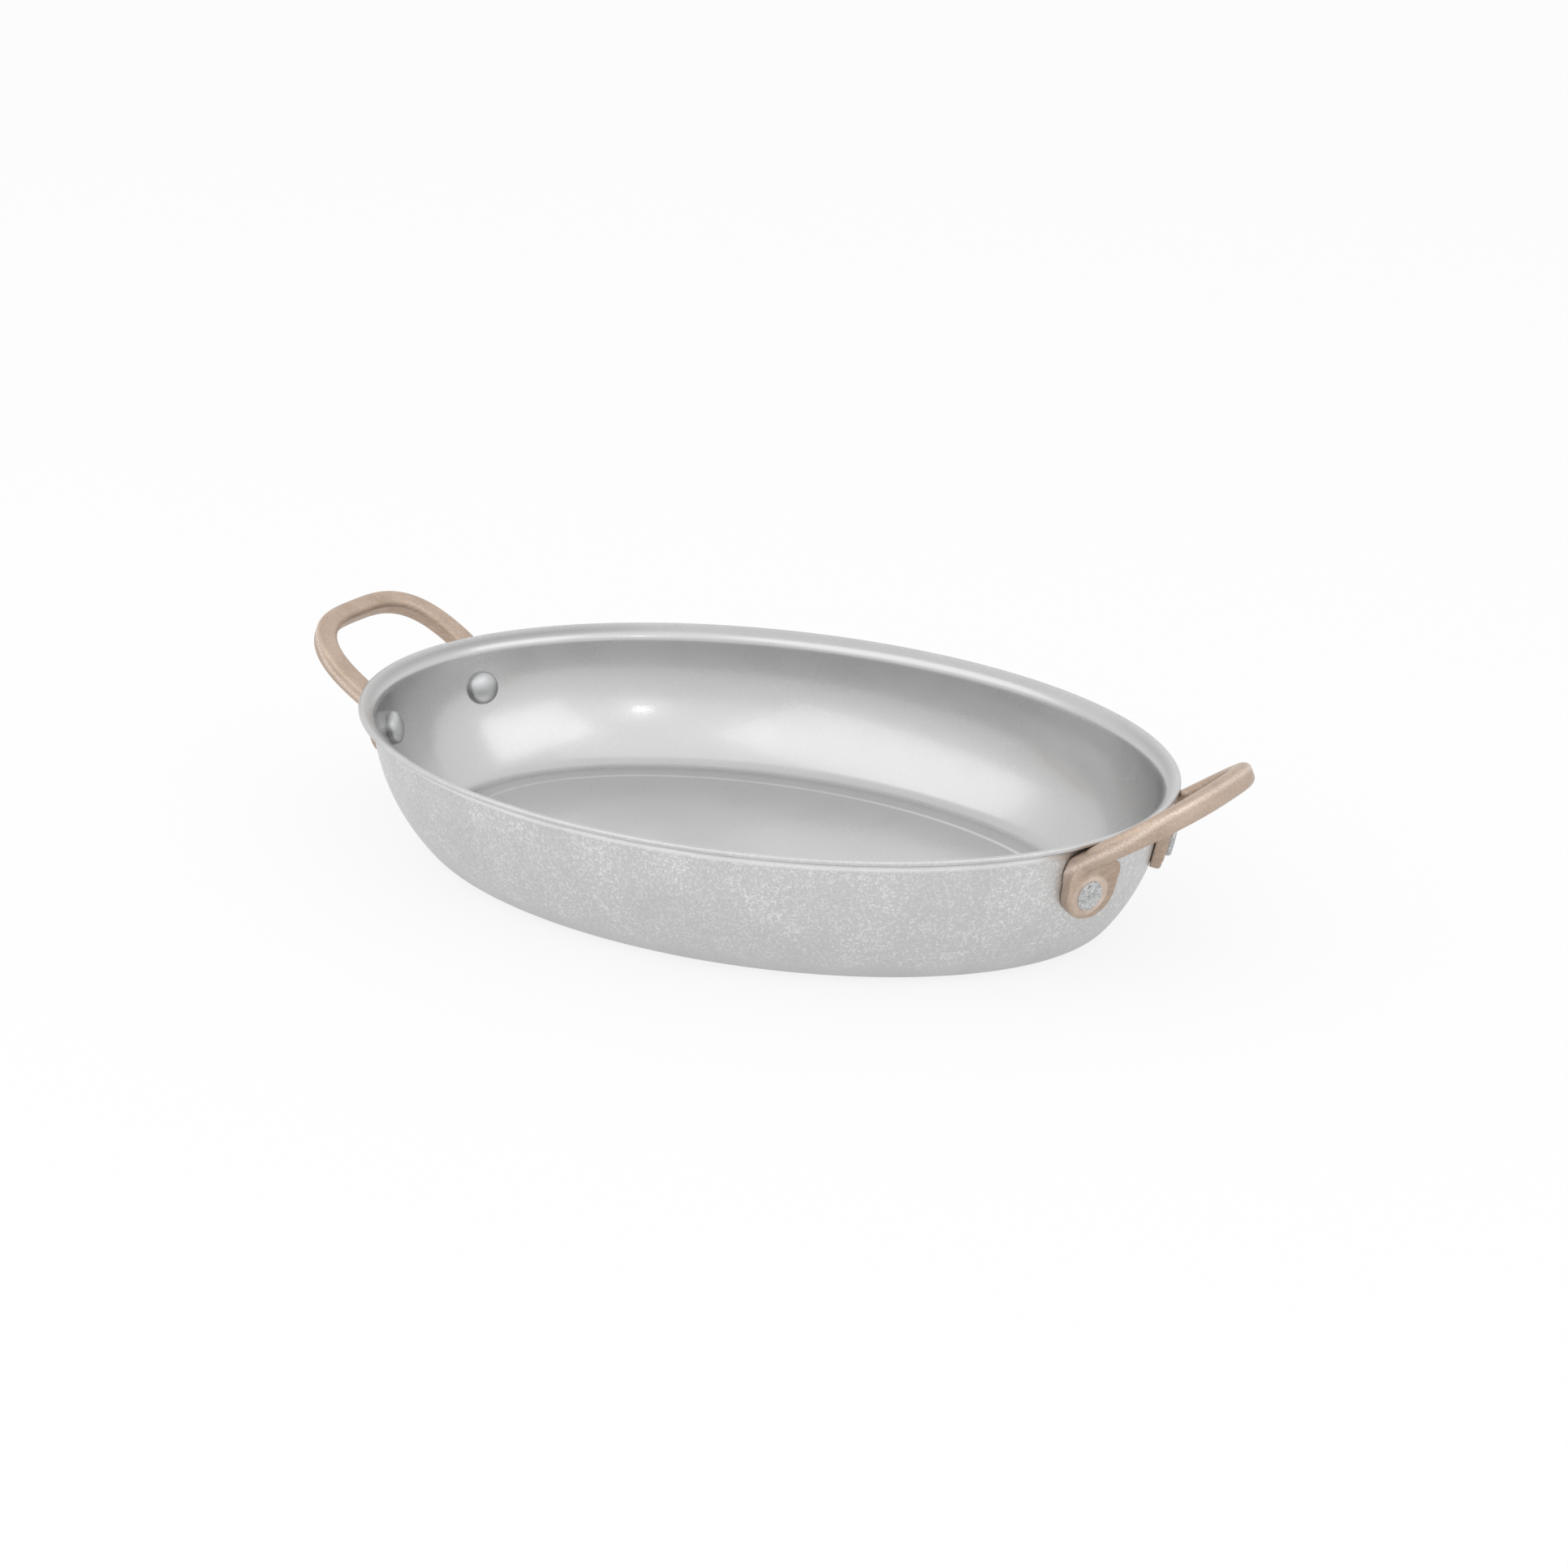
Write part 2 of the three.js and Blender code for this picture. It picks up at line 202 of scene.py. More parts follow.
class RivetSizes(bpy.types.PropertyGroup):
    """Sizes of the rivets"""

    spacing: size("Spacing", 42.4, "Between the two rivets of a handle")
    drop: size("Drop", 14.2, "From the rim down to the rivets")
    shank: size("Shank", 5, "Diameter through the wall")
    dome: size("Dome", 9.4, "Diameter of the head inside the pan")
    dome_height: size("Dome height", 3, "How far the inside head stands off the wall")
    dome_edge: size("Dome edge", 0.8, "Straight side under the dome")
    disc: size("Disc", 8.6, "Diameter of the flat head outside")
    front_disc: size("Front disc", 0.6, "How far the heads that are hammered down stand off the ear")
    back_disc: size("Back disc", 1.7, "How far the heads that are left proud stand off the ear")
    disc_oval: share("Disc oval", 0.88, "Width of an outside head as a share of its height")
    disc_round: share("Disc rounding", 0.5, "Radius round an outside head's face, as a share of its height")
    pit_depth: size("Pit depth", 0.45, "Of the hammer's pits in the outside heads")
    bedding: size("Bedding", 0.5, "How deep the heads' feet sit in what they press on")
    steps: IntProperty(name="Steps", description="Pieces round a rivet", default=72, min=8)


class HandleSizes(bpy.types.PropertyGroup):
    """Sizes of the cast handles"""

    tilt: angle("Tilt", 34, "Of the loop above the level")
    rise: size("Rise", 1.7, "Top of the loop's plane above the rim, over the end of the pan")
    extra_tilt: angle("Extra tilt", 0.5, "How much steeper the right handle is set, and the left one less")
    extra_rise: size("Extra rise", 0.4, "How much higher the right handle is set, and the left one lower")
    reach: size("Reach", 23, "Along the slope, from over the pan's end to the loop's tip")
    spread: size("Spread", 25, "From the handle's middle to the middle of the bar's legs")
    root_inset: size("Root inset", 1.4, "How much nearer to the handle's middle the legs are at the wall")
    squareness: share("Squareness", 3.1, "2 makes the loop an ellipse, more makes it squarer")
    root_width: size("Root width", 6.7, "Of the bar at the wall, across the loop")
    root_thickness: size("Root thickness", 4.9, "Of the bar at the wall")
    tip_width: size("Tip width", 5.3, "Of the bar at the loop's tip")
    tip_thickness: size("Tip thickness", 6.4, "Of the bar at the loop's tip")
    root_round: size("Root rounding", 1.3, "Radius along the bar's edges at the wall")
    tip_round: size("Tip rounding", 2.0, "Radius along the bar's edges at the tip")
    draft: angle("Draft", 9, "Lean of the bar's sides above and under their parting line")
    parting_rise: size("Parting rise", 1.2, "Of the parting line above the bar's middle, at the tip")
    ear_radius: size("Ear radius", 7.6, "Round the rivet")
    ear_offset: size("Ear offset", 2.1, "From the rivet to the ear's middle, towards the handle's middle")
    extra_offset: size("Extra ear offset", 0.8, "How much further in the left ears are, the right ones out")
    ear_thickness: size("Ear thickness", 3.4, "Of the ears in front, off the wall")
    back_thickness: size("Back ear thickness", 2.4, "Of the ears at the back, off the wall")
    ear_rise: size("Ear rise", 8, "From the rivet up to the top of the ear")
    ear_flare: size("Ear flare", 0.6, "Widening of the ear's inner side towards its top")
    ear_corner: size("Ear corner", 3, "Radius at the top of the ear")
    ear_round: size("Ear rounding", 1, "Along the edges of the ear's face")
    collar: size("Collar", 5.9, "Radius of the ground ring round each rivet")
    collar_height: size("Collar height", 0.25, "Of the ground ring above the ear's face")
    blend: size("Blend", 1.6, "Width of the run between bar and ear")
    seat_gap: size("Seat gap", 0.15, "Between the ears and the wall")
    edge_run: size("Edge run", 0.35, "Width of the rounding where the casting meets the wall")
    grain: size("Grain", 0.3, "Width of the cells that the casting's skin is made of")


class Finishes(bpy.types.PropertyGroup):
    """Colours of the metals"""

    outside: colour("Outside", (0.598, 0.598, 0.598), "Tumbled aluminium outside the pan")
    # Painted light: a near-white colour for the outside under the lip, standing for light there; the metal is
    # the same as the rest of the outside
    under_lip_painted_light: colour("Under the lip", (0.97, 0.97, 0.97), "Brighter aluminium outside, under the lip")
    lip: colour("Lip", (0.52, 0.52, 0.52), "Top of the lip")
    # Painted shade: a darker colour for the lip's top at the ends, holding down its bright reflection there
    lip_ends_painted_shade: colour("Lip ends", (0.36, 0.36, 0.36), "Top of the lip at the ends of the pan")
    inside: colour("Inside", (0.52, 0.52, 0.52), "Satin aluminium inside the pan")
    # Painted light: a lighter colour for the inside at the ends of the pan, standing for brighter reflections
    # there
    ends: colour("Ends", (0.56, 0.56, 0.56), "Satin aluminium inside, at the ends of the pan")
    # Painted reflection: the floor's colour is lighter than the inside wall's, standing for the brighter
    # reflection it shows; the sheet is the same
    floor: colour("Floor", (0.65, 0.65, 0.65), "Smoother aluminium of the pan's floor")
    marks: colour("Marks", (0.9, 0.9, 0.9), "Short bright marks of the tumbling")
    bronze: colour("Bronze", (0.59, 0.474, 0.39), "Skin of the castings")
    # Partly wear, partly painted highlight: the colour that lightens the bar's edges and the band along its
    # parting line
    bronze_worn_sheen: colour("Worn bronze", (0.83, 0.7, 0.61), "Edges that are rubbed bright")
    # Also the colour of the painted shade, with file strokes, on the bar's inner side
    bronze_dark: colour("Dark bronze", (0.44, 0.335, 0.262), "Hollows of the castings' skin")
    rivet: colour("Rivet", (0.55, 0.555, 0.56), "Rivets")


class StageSettings(bpy.types.PropertyGroup):
    """Camera, floor and light"""

    camera_place: FloatVectorProperty(
        name="Camera", description="Place of the camera", size=3, subtype="XYZ", unit="LENGTH",
        default=(0.51444, -0.77989, 0.3708), precision=5,
    )
    camera_azimuth: angle("Azimuth", 32.982, "Of the camera round the pan")
    camera_elevation: angle("Elevation", 20.324, "Of the camera above the level")
    lens: FloatProperty(name="Lens", description="Focal length, in millimetres", default=84.5)
    floor_size: size("Floor", 6000, "Side of the floor")
    floor_colour: colour("Floor colour", (0.92, 0.92, 0.92), "Pale floor")
    floor_glow: share("Floor glow", 0.82, "Share of plain white in what the camera sees of the floor")
    floor_mirrored: share("Mirrored floor glow", 0.6, "Share of plain white in what the metal mirrors of it")
    world_level: share("World level", 0.9, "Light of the surroundings on the floor")
    lamp_distance: size("Lamp distance", 1200, "From the pan to each lamp")


class PanSettings(bpy.types.PropertyGroup):
    """All settings of the pan"""

    body: PointerProperty(type=PanSizes)
    rivets: PointerProperty(type=RivetSizes)
    handles: PointerProperty(type=HandleSizes)
    finishes: PointerProperty(type=Finishes)
    stage: PointerProperty(type=StageSettings)


# Node trees

def feed(tree, socket, value):
    """Link a socket into another, or set a plain value on it."""
    if isinstance(value, bpy.types.NodeSocket):
        tree.links.new(value, socket)
    else:
        socket.default_value = value


def put(tree, kind, inputs=None, **settings):
    """A new node with its settings made and its inputs, by name or number, fed."""
    node = tree.nodes.new(kind)
    for name, value in settings.items():
        setattr(node, name, value)
    for key, value in (inputs or {}).items():
        feed(tree, node.inputs[key], value)
    return node


def made(tree, kind, inputs=None, **settings):
    """First socket that a new node puts out."""
    return put(tree, kind, inputs, **settings).outputs[0]


def calc(tree, operation, *terms):
    """Socket of a sum worked out from sockets and plain numbers."""
    return made(tree, "ShaderNodeMath", dict(enumerate(terms)), operation=operation)


def times(tree, *terms):
    """Socket of the product of sockets and plain numbers."""
    return functools.reduce(lambda first, second: calc(tree, "MULTIPLY", first, second), terms)


def ramp(tree, value, low, high, bottom=0.0, top=1.0):
    """Socket that runs from bottom to top as a value runs from low to high, and stops there."""
    inputs = {"Value": value, "From Min": low, "From Max": high, "To Min": bottom, "To Max": top}
    return made(tree, "ShaderNodeMapRange", inputs, interpolation_type="SMOOTHSTEP")


def vector(tree, x=0.0, y=0.0, z=0.0):
    """Socket of a vector put together from its parts."""
    return made(tree, "ShaderNodeCombineXYZ", {"X": x, "Y": y, "Z": z})


def parts_of(tree, place):
    """Sockets of a vector's X, Y and Z."""
    return put(tree, "ShaderNodeSeparateXYZ", {"Vector": place}).outputs


def vector_calc(tree, operation, first, second):
    """Socket of a vector worked out from two."""
    return made(tree, "ShaderNodeVectorMath", {0: first, 1: second}, operation=operation)


def noise(tree, place, scale, detail=2.0, roughness=0.5):
    """Socket of a noise about its middle value at a place."""
    inputs = {"Vector": place, "Scale": scale, "Detail": detail, "Roughness": roughness}
    return made(tree, "ShaderNodeTexNoise", inputs)


def mixed(tree, factor, first, second):
    """Socket of a colour between two, each a socket or a plain colour."""
    node = put(tree, "ShaderNodeMix", {"Factor": factor}, data_type="RGBA")
    for key, value in (("A_Color", first), ("B_Color", second)):
        socket = next(s for s in node.inputs if s.identifier == key)
        feed(tree, socket, value if isinstance(value, bpy.types.NodeSocket) else rgba(value))
    return next(s for s in node.outputs if s.identifier == "Result_Color")


def rgba(value):
    """A colour with full alpha."""
    return (*value, 1.0)


def new_tree(name, kind, inputs, outputs):
    """An empty tree with sockets of named kinds, those that it is given and those that it puts out."""
    tree = bpy.data.node_groups.new(name, kind)
    for in_out, sockets in (("INPUT", inputs), ("OUTPUT", outputs)):
        for label, socket_kind in sockets.items():
            tree.interface.new_socket(label, in_out=in_out, socket_type=f"NodeSocket{socket_kind}")
    return tree, tree.nodes.new("NodeGroupInput").outputs, tree.nodes.new("NodeGroupOutput").inputs


# Shared effects

NOISE_MIDDLE = 0.5
LINE_DETAIL = 1.5
PATCH_OFFSET = (3.1, 7.7, 5.3)
PATCH_SCALE = 0.9
PATCH_TOP, PATCH_FALL, PATCH_EDGE = 0.8, 0.6, 0.06
CLOUD_DETAIL = 4.0
GRAIN_DETAIL, GRAIN_ROUGHNESS = 3.0, 0.65


def hairline_group():
    """Short hair-like marks: contour lines of a noise, broken up by a second one."""
    name = "hairline_marks"
    if name in bpy.data.node_groups:
        return bpy.data.node_groups[name]
    tree, given, out = new_tree(name, "ShaderNodeTree", {
        "Vector": "Vector", "Scale": "Float", "Width": "Float", "Coverage": "Float",
    }, {"Mask": "Float"})
    lines = noise(tree, given["Vector"], given["Scale"], LINE_DETAIL)
    level = calc(tree, "ABSOLUTE", calc(tree, "SUBTRACT", lines, NOISE_MIDDLE))
    line = ramp(tree, level, 0.0, given["Width"], *FADING)
    moved = vector_calc(tree, "ADD", given["Vector"], PATCH_OFFSET)
    patches = noise(tree, moved, times(tree, given["Scale"], PATCH_SCALE))
    start = calc(tree, "SUBTRACT", PATCH_TOP, times(tree, given["Coverage"], PATCH_FALL))
    kept = ramp(tree, patches, start, calc(tree, "ADD", start, PATCH_EDGE))
    feed(tree, out["Mask"], times(tree, line, kept))
    return tree


def mottle_group():
    """Uneven tone: coarse clouds and fine grain, alone and together, about the noise's middle."""
    name = "mottle"
    if name in bpy.data.node_groups:
        return bpy.data.node_groups[name]
    tree, given, out = new_tree(name, "ShaderNodeTree", {
        "Vector": "Vector", "Cloud Scale": "Float", "Grain Scale": "Float", "Grain Share": "Float",
    }, {"Value": "Float", "Cloud": "Float", "Grain": "Float"})
    clouds = noise(tree, given["Vector"], given["Cloud Scale"], CLOUD_DETAIL)
    grain = noise(tree, given["Vector"], given["Grain Scale"], GRAIN_DETAIL, GRAIN_ROUGHNESS)
    blend = made(tree, "ShaderNodeMix", {"Factor": given["Grain Share"], "A": clouds, "B": grain})
    for label, value in (("Value", blend), ("Cloud", clouds), ("Grain", grain)):
        feed(tree, out[label], value)
    return tree


# Materials

def metal(name):
    """A material with a plain metal shader, and its tree, the shader's inputs and the coordinates."""
    material = bpy.data.materials.new(name)
    material.use_nodes = True
    tree = material.node_tree
    surface = tree.nodes["Principled BSDF"].inputs
    surface["Metallic"].default_value = 1.0
    place = tree.nodes.new("ShaderNodeTexCoord").outputs["Object"]
    return material, tree, surface, place


def placed(tree, group, place, settings):
    """Sockets that a shared effect puts out, placed in a material with its settings."""
    return put(tree, "ShaderNodeGroup", {"Vector": place, **settings}, node_tree=group).outputs


def attribute(tree, name):
    """Socket of a value that the piece's mesh holds."""
    return put(tree, "ShaderNodeAttribute", attribute_name=name).outputs["Fac"]


def toned(tree, skin, shade):
    """Socket of a colour made lighter or darker by a factor."""
    return made(tree, "ShaderNodeVectorMath", {0: skin, "Scale": shade}, operation="SCALE")


def bump(tree, height, strength, distance, **under):
    """Socket of the normal that small heights give, on top of a normal under them."""
    inputs = {"Strength": strength, "Distance": distance, "Height": height, **under}
    return made(tree, "ShaderNodeBump", inputs)


def dress(tree, surface, skin, roughness, normal):
    """Feed a metal's colour, roughness and normal."""
    feed(tree, surface["Base Color"], skin)
    feed(tree, surface["Roughness"], roughness)
    feed(tree, surface["Normal"], normal)


def pan_aluminium(finishes, rim_height):
    """Tumbled outside with short bright marks and painted light under the lip, satin inside with a floor
    painted lighter as painted reflection, painted light towards the inside's ends and painted shade on the
    lip's top at the ends.
    """
    material, tree, surface, place = metal("pan_aluminium")
    inside = attribute(tree, "inside")
    outside = calc(tree, "SUBTRACT", 1.0, inside)
    spot = parts_of(tree, place)
    height = spot["Z"]
    depth = calc(tree, "SUBTRACT", rim_height, height)
    away = calc(tree, "ABSOLUTE", spot["X"])
    floor = times(tree, inside, ramp(tree, height, *FLOOR_TOP, *FADING))

    tone = placed(tree, mottle_group(), place, PAN_TONE)
    marks = [placed(tree, hairline_group(), place, hair)["Mask"] for hair in HAIRS]
    crowd = ramp(tree, tone["Cloud"], *CROWD_TONE, *CROWD_STRENGTH)
    tumbled = times(tree, ramp(tree, height, *HAIR_FOOT), ramp(tree, depth, *HAIR_TOP, *HAIR_STRENGTH))
    hairs = times(tree, calc(tree, "MAXIMUM", *marks), crowd, tumbled, outside)
    specks = made(tree, "ShaderNodeTexVoronoi", {"Vector": place, "Scale": SPECK_SCALE})
    speck = calc(tree, "LESS_THAN", specks, SPECK_RADIUS)
    light = calc(tree, "MAXIMUM", hairs, times(tree, speck, floor))

    # Painted light: just under the lip's edge the outside takes a much lighter colour, lifting the shade
    # under the lip
    under = times(tree, ramp(tree, depth, *PAINTED_LIGHT_UNDER_LIP, *FADING), ramp(tree, depth, *EDGE_FOOT))
    skin = mixed(tree, under, finishes.outside, finishes.under_lip_painted_light)
    skin = mixed(tree, inside, skin, finishes.inside)
    # Painted light: the inside is lightened towards the ends of the pan
    ends = times(tree, inside, ramp(tree, away, *INSIDE_LIGHT_ENDS))
    skin = mixed(tree, ends, skin, finishes.ends)
    # Painted shade: the lip's top darkens towards the ends of the pan, holding down its bright reflection
    # there
    lip = mixed(tree, ramp(tree, away, *LIP_SHADE_ENDS), finishes.lip, finishes.lip_ends_painted_shade)
    skin = mixed(tree, times(tree, inside, ramp(tree, depth, *LIP_TOP, *FADING)), skin, lip)
    # Painted reflection: the floor of the inside takes a lighter colour
    skin = mixed(tree, floor, skin, finishes.floor)
    unevenness = calc(tree, "MULTIPLY_ADD", outside, UNEVEN_OUTSIDE, UNEVEN)
    swing = ramp(tree, tone["Value"], *TONE, *BOTH_WAYS)
    shade = calc(tree, "MULTIPLY_ADD", swing, unevenness, 1.0)
    skin = mixed(tree, light, toned(tree, skin, shade), finishes.marks)

    satin = ramp(tree, tone["Cloud"], *TONE, *SATIN_ROUGHNESS)
    roughness = calc(tree, "MULTIPLY_ADD", outside, ROUGHER_OUTSIDE, satin)
    feed(tree, surface["Coat Weight"], times(tree, inside, COAT_WEIGHT))
    surface["Coat Roughness"].default_value = COAT_ROUGHNESS
    surface["Coat IOR"].default_value = COAT_IOR

    pressed = bump(tree, times(tree, noise(tree, place, DENT_SCALE), inside), 1.0, DENT_DEPTH)
    coarse = calc(tree, "MULTIPLY_ADD", outside, GRAIN_OUTSIDE, GRAIN_INSIDE)
    grain = times(tree, tone["Grain"], coarse)
    dress(tree, surface, skin, roughness, bump(tree, grain, GRAIN_BUMP, GRAIN_DEPTH, Normal=pressed))
    return material


def handle_bronze(finishes):
    """Cast bronze: finely speckled skin, edges and the parting line lightened as wear and painted highlight,
    the bar's inner side darkened with file strokes and painted shade, and ground rings round the rivets.
    """
    material, tree, surface, place = metal("handle_bronze")
    worn_and_sheen, ground, filed_and_shaded = (attribute(tree, name) for name in ("worn_and_sheen", "ground", "filed_and_shaded"))
    tone = placed(tree, mottle_group(), place, BRONZE_TONE)
    skin = mixed(tree, ramp(tree, tone["Value"], *SKIN_TONE), finishes.bronze_dark, finishes.bronze)
    strokes = noise(tree, vector_calc(tree, "MULTIPLY", place, STROKE_SHAPE), STROKE_SCALE)
    # File strokes and painted shade: the bar's inner side is darkened towards the dark bronze
    filed_and_shaded = times(tree, filed_and_shaded, ramp(tree, strokes, *STROKE_TONE, *STROKE_STRENGTH))
    skin = mixed(tree, filed_and_shaded, skin, finishes.bronze_dark)
    # Wear and painted highlight: the edges and the band along the parting line are lightened
    rubbed = times(tree, worn_and_sheen, ramp(tree, tone["Grain"], *RUB_SHEEN_TONE, *RUB_SHEEN_STRENGTH))
    flecks = ramp(tree, tone["Grain"], *FLECK_TONE, *FLECK_STRENGTH)
    polished = times(tree, ground, ramp(tree, tone["Cloud"], *POLISH_TONE, *POLISH_STRENGTH))
    light = calc(tree, "MAXIMUM", calc(tree, "MAXIMUM", rubbed, flecks), polished)
    skin = mixed(tree, light, skin, finishes.bronze_worn_sheen)
    roughness = ramp(tree, tone["Value"], *TONE, *BRONZE_ROUGHNESS)
    dress(tree, surface, skin, roughness, bump(tree, tone["Grain"], CAST_BUMP, CAST_DEPTH))
    return material


def rivet_aluminium(finishes):
    """Rivet metal: smooth dome with painted shade round its foot, grainy hammered disc with its pits darkened
    as painted shade.
    """
    material, tree, surface, place = metal("rivet_aluminium")
    face, pit, rim = (attribute(tree, name) for name in ("face", "pit", "rim"))
    tone = placed(tree, mottle_group(), place, RIVET_TONE)
    # Painted shade: the ring round each dome's foot darkens the rivet's colour
    painted_shade = calc(tree, "MULTIPLY_ADD", rim, -DOME_FOOT_SHADE, 1.0)
    # Painted shade: the hammer's pits darken the rivet's colour, on top of being dented
    painted_shade = calc(tree, "MULTIPLY_ADD", pit, -PIT_SHADE, painted_shade)
    unevenness = calc(tree, "MULTIPLY_ADD", face, UNEVEN_FACE, UNEVEN)
    swing = ramp(tree, tone["Value"], *FACE_TONE, *BOTH_WAYS)
    skin = toned(tree, finishes.rivet, calc(tree, "MULTIPLY_ADD", swing, unevenness, painted_shade))
    roughness = calc(tree, "MULTIPLY_ADD", face, ROUGHER_FACE, DOME_ROUGHNESS)
    dress(tree, surface, skin, roughness, bump(tree, times(tree, tone["Grain"], face), FACE_BUMP, FACE_DEPTH))
    return material


# The pan's section

def arc(centre, radius, start, end, steps):
    """Points along an arc, both ends among them."""
    turns = np.linspace(start, end, steps + 1)
    return [centre + radius * Vector((math.cos(turn), math.sin(turn))) for turn in turns]


class SheetSection:
    """Section of the sheet, in inset from the rim's edge and height, as arcs that run into each other."""

    def __init__(self, pan):
        self.pan = pan
        half = pan.lip_sheet / 2
        self.over = Vector((math.sin(pan.lip_slope), math.cos(pan.lip_slope)))
        self.level = Vector((math.cos(pan.wall_tilt), math.sin(pan.wall_tilt)))
        self.edge_top = Vector((pan.edge_round, pan.height - pan.edge_round))
        lip_face = self.edge_top.dot(self.over) + pan.edge_round
        self.edge_foot = self.lip_place(pan.edge_ease, lip_face - pan.lip_sheet + pan.edge_ease)
        self.edge = self.edge_top + (pan.edge_round - half) * self.over
        self.bend = self.lip_place(pan.lip_reach - pan.lip_bend * self.level.x, lip_face - pan.lip_bend)
        self.lip_foot = self.bend + (pan.lip_bend - half) * self.over

        self.corner = Vector((pan.corner_inset, pan.base_sink + pan.base_corner))
        inner_top = self.bend + pan.lip_bend * self.level
        outer_top = inner_top - pan.wall_sheet * self.level
        self.inner_wall = self.wall_arc(inner_top, pan.base_corner - pan.sheet)
        self.outer_wall = self.wall_arc(outer_top, pan.base_corner)

        beside = outer_top.dot(self.level) - pan.lip_ease
        beneath = lip_face - pan.lip_sheet - pan.lip_ease
        turned = self.level.x * self.over.y - self.level.y * self.over.x
        self.ease = Vector((
            (beside * self.over.y - beneath * self.level.y) / turned,
            (beneath * self.level.x - beside * self.over.x) / turned,
        ))

    def lip_place(self, inset, across):
        """Place at an inset that lies so far along the way across the lip."""
        return Vector((inset, (across - inset * self.over.x) / self.over.y))

    def wall_arc(self, top, corner_radius):
        """Centre, radius and first turn of the wall's arc from the base corner up to its top."""
        away = top - self.corner
        radius = (corner_radius**2 - away.length_squared) / (2 * (away.dot(self.level) + corner_radius))
        centre = top + radius * self.level
        away = self.corner - centre
        return centre, radius, math.atan2(away.y, away.x) + 2 * math.pi

    def step_down(self, height):
        """Slope from the level ring down to the sunk middle, on the side at a height above it."""
        pan = self.pan
        ring = self.corner.x + pan.base_margin
        points = []
        for turn in np.linspace(0, math.pi, pan.arc_steps + 1):
            sunk = pan.base_sink * (1 + math.cos(turn)) / 2
            points.append(Vector((ring + pan.base_ease * turn / math.pi, height + sunk)))
        return points + [points[-1] + Vector((pan.base_ease / 4, 0))]

    def outside(self):
        """From the sunk middle of the base up to the top of the lip's edge."""
        pan, steps = self.pan, self.pan.arc_steps
        quarter = math.pi / 2
        upward = quarter - pan.lip_slope
        centre, radius, join = self.outer_wall
        away = self.ease + pan.lip_ease * self.level - centre
        wall_top = math.atan2(away.y, away.x) + 2 * math.pi
        return [
            *reversed(self.step_down(0)),
            *arc(self.corner, pan.base_corner, 3 * quarter, join, steps),
            *arc(centre, radius, join, wall_top, 2 * steps)[1:-1],
            *arc(self.ease, pan.lip_ease, pan.wall_tilt, upward, steps),
            *arc(self.edge_foot, pan.edge_ease, upward + 2 * quarter, 2 * quarter, steps // 2),
            *arc(self.edge_top, pan.edge_round, 2 * quarter, upward, steps),
        ]

    def inside(self):
        """From the top of the lip down to the sunk middle of the floor."""
        pan, steps = self.pan, self.pan.arc_steps
        quarter = math.pi / 2
        centre, radius, join = self.inner_wall
        return [
            *arc(self.bend, pan.lip_bend, quarter - pan.lip_slope, pan.wall_tilt, steps),
            *arc(centre, radius, pan.wall_tilt + math.pi, join, 2 * steps)[1:],
            *arc(self.corner, pan.base_corner - pan.sheet, join, 3 * quarter, steps)[1:],
            *self.step_down(pan.sheet),
        ]


def rim_point(pan, turn, inset):
    """Place on the oval that runs an inset inside the rim's edge, and the way out of it."""
    half_length, half_width = pan.length / 2, pan.width / 2
    outward = Vector((math.cos(turn) / half_length, math.sin(turn) / half_width)).normalized()
    return Vector((half_length * math.cos(turn), half_width * math.sin(turn))) - inset * outward, outward


def rivet_seat(pan, rivets):
    """Place on the wall and way out of it for the rivet at the right back."""
    centre, radius, _ = SheetSection(pan).outer_wall
    height = pan.height - rivets.drop
    below = centre.y - height
    inset = centre.x - math.sqrt(radius**2 - below**2)
    lean = math.asin(below / radius)
    near, far = 0.0, math.pi / 2
    for _ in range(SEAT_TRIES):
        turn = (near + far) / 2
        place, outward = rim_point(pan, turn, inset)
        near, far = (turn, far) if place.y < rivets.spacing / 2 else (near, turn)
    facing = Vector((*(math.cos(lean) * outward), -math.sin(lean)))
    return Vector((*place, height)), facing


# Meshes

def profile_object(name, points):
    """A curve object along points of a profile, turned so that a sweep round +Z sets x inwards and y up."""
    curve = bpy.data.curves.new(name, "CURVE")
    curve.dimensions = "3D"
    spline = curve.splines.new("POLY")
    spline.points.add(len(points) - 1)
    for target, (x, y) in zip(spline.points, points):
        target.co = (-x, -y, 0, 1)
    holder = bpy.data.objects.new(name, curve)
    bpy.context.scene.collection.objects.link(holder)
    return holder


def grown(name, holder, tree, values):
    """Plain mesh object of what a tree grows from a profile. The profile's object is removed."""
    modifier = holder.modifiers.new(tree.name, "NODES")
    modifier.node_group = tree
    for item in tree.interface.items_tree:
        if item.in_out == "INPUT" and item.name in values:
            modifier[item.identifier] = values[item.name]
    graph = bpy.context.evaluated_depsgraph_get()
    mesh = bpy.data.meshes.new_from_object(holder.evaluated_get(graph))
    holder.modifiers.remove(modifier)
    bpy.data.objects.remove(holder)
    return linked(name, mesh)


def linked(name, mesh):
    """A mesh as a named object in the scene, at the origin."""
    if not mesh.polygons:
        raise RuntimeError(f"{name} came out empty")
    mesh.name = name
    piece = bpy.data.objects.new(name, mesh)
    bpy.context.scene.collection.objects.link(piece)
    return piece


def keep(piece, slot, *nodes):
    """Let a finished piece stand for its CAD nodes."""
    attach(piece, BODY)
    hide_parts(*nodes)


def stored(tree, geometry, name, value):
    """Socket of a geometry that holds a named value at each of its points."""
    inputs = {"Geometry": geometry, "Name": name, "Value": value}
    return made(tree, "GeometryNodeStoreNamedAttribute", inputs)


